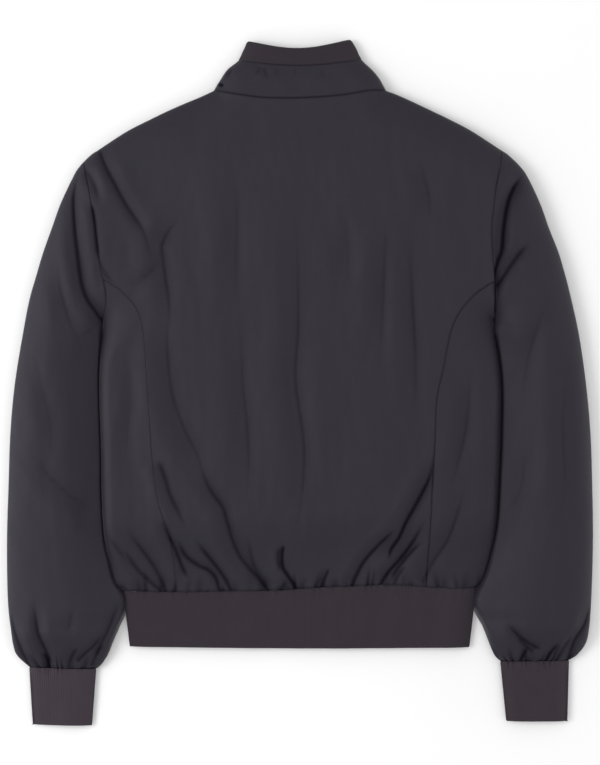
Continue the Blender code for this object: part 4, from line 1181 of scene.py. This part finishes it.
def make_cloth(materials):
    grids = cloth_grids()
    for name, (grid, closed, facing, shade) in grids.items():
        is_knit = "rib" in name or "cuff" in name
        if name in SEAM_DEPTHS:
            depths = [depth * MM for depth in SEAM_DEPTHS[name]]
            grid, sunk = grooved(grid, closed, facing, depths)
            # painted shade along the sunk seams
            shade = np.minimum(shade + SEAM_SHADE * sunk / MM, DEEPEST_SHADE)
        depth = KNIT_DEPTH if is_knit else SHELL_DEPTH
        material = knit_material("knit_" + name, KNIT_TONES[name]) if is_knit else materials["shell"]
        piece = shell("cloth_" + name, grid, closed, facing, depth, material, shade)
        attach(piece, "jacket")
        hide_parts(name)
    return grids


def make_zip(grids, materials):
    path = centre_path(grids)
    for side in (LEFT, RIGHT):
        tape = zip_tape(side, path, materials["tape"])
        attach(tape, "jacket")
        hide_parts("zip_tape_" + SIDE_NAME[side])
    teeth = zip_teeth(path, materials["metal"])
    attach(teeth, "jacket")
    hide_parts("zip_chain_lower", "zip_chain_upper")
    for node in ("zip_slider", "zip_pull"):
        for held in bpy.data.objects[node].material_slots:
            held.material = materials["metal"]


WORLD_STRENGTH = 0.79
FLOOR_GAP = 0.4 * MM
PHOTO_WIDTH = 600
SENSOR_WIDTH = 36.0
CAMERA_HEIGHT = 2.6
PIXEL = 1.16 * MM
AIM_HEIGHT = 14 * MM
LIGHTS = [  # name, place, size, watts
    ("key", (-1.7, 0.15, 1.9), (1.2, 1.2), 25.5),
    ("top", (0.2, 0.3, 2.9), (1.8, 1.8), 7.0),
    ("low_left", (-1.5, 0.0, 0.10), (1.6, 0.14), 7.5),
    ("low_right", (1.5, 0.0, 0.10), (1.6, 0.14), 6.5),
]


def make_stage():
    bpy.ops.mesh.primitive_plane_add(size=8.0, location=(0.0, 0.0, -FLOOR_GAP))
    floor = bpy.context.object
    floor.name = "floor"
    floor.data.materials.append(floor_material())
    world = bpy.data.worlds.new("soft_white")
    world.use_nodes = True
    world.node_tree.nodes["Background"].inputs["Color"].default_value = (1.0, 1.0, 1.0, 1.0)
    world.node_tree.nodes["Background"].inputs["Strength"].default_value = WORLD_STRENGTH
    scene = bpy.context.scene
    scene.world = world
    for name, place, size, power in LIGHTS:
        light = bpy.data.lights.new(name, "AREA")
        light.shape = "RECTANGLE"
        light.size, light.size_y = size
        light.energy = power
        held = bpy.data.objects.new(name, light)
        held.location = place
        held.rotation_euler = (-Vector(place)).to_track_quat("-Z", "Y").to_euler()
        scene.collection.objects.link(held)
    camera = bpy.data.cameras.new("camera")
    camera.sensor_fit = "HORIZONTAL"
    camera.sensor_width = SENSOR_WIDTH
    camera.lens = SENSOR_WIDTH * (CAMERA_HEIGHT - AIM_HEIGHT) / (PHOTO_WIDTH * PIXEL)
    camera.clip_end = 20.0
    holder = bpy.data.objects.new("camera", camera)
    holder.location = (0.0, 0.0, CAMERA_HEIGHT)
    scene.collection.objects.link(holder)
    scene.camera = holder
    scene.view_settings.view_transform = "Standard"
    return floor


def main():
    floor = make_stage()
    materials = {"shell": shell_material(), "tape": tape_material(), "metal": metal_material()}
    grids = make_cloth(materials)
    make_zip(grids, materials)


main()
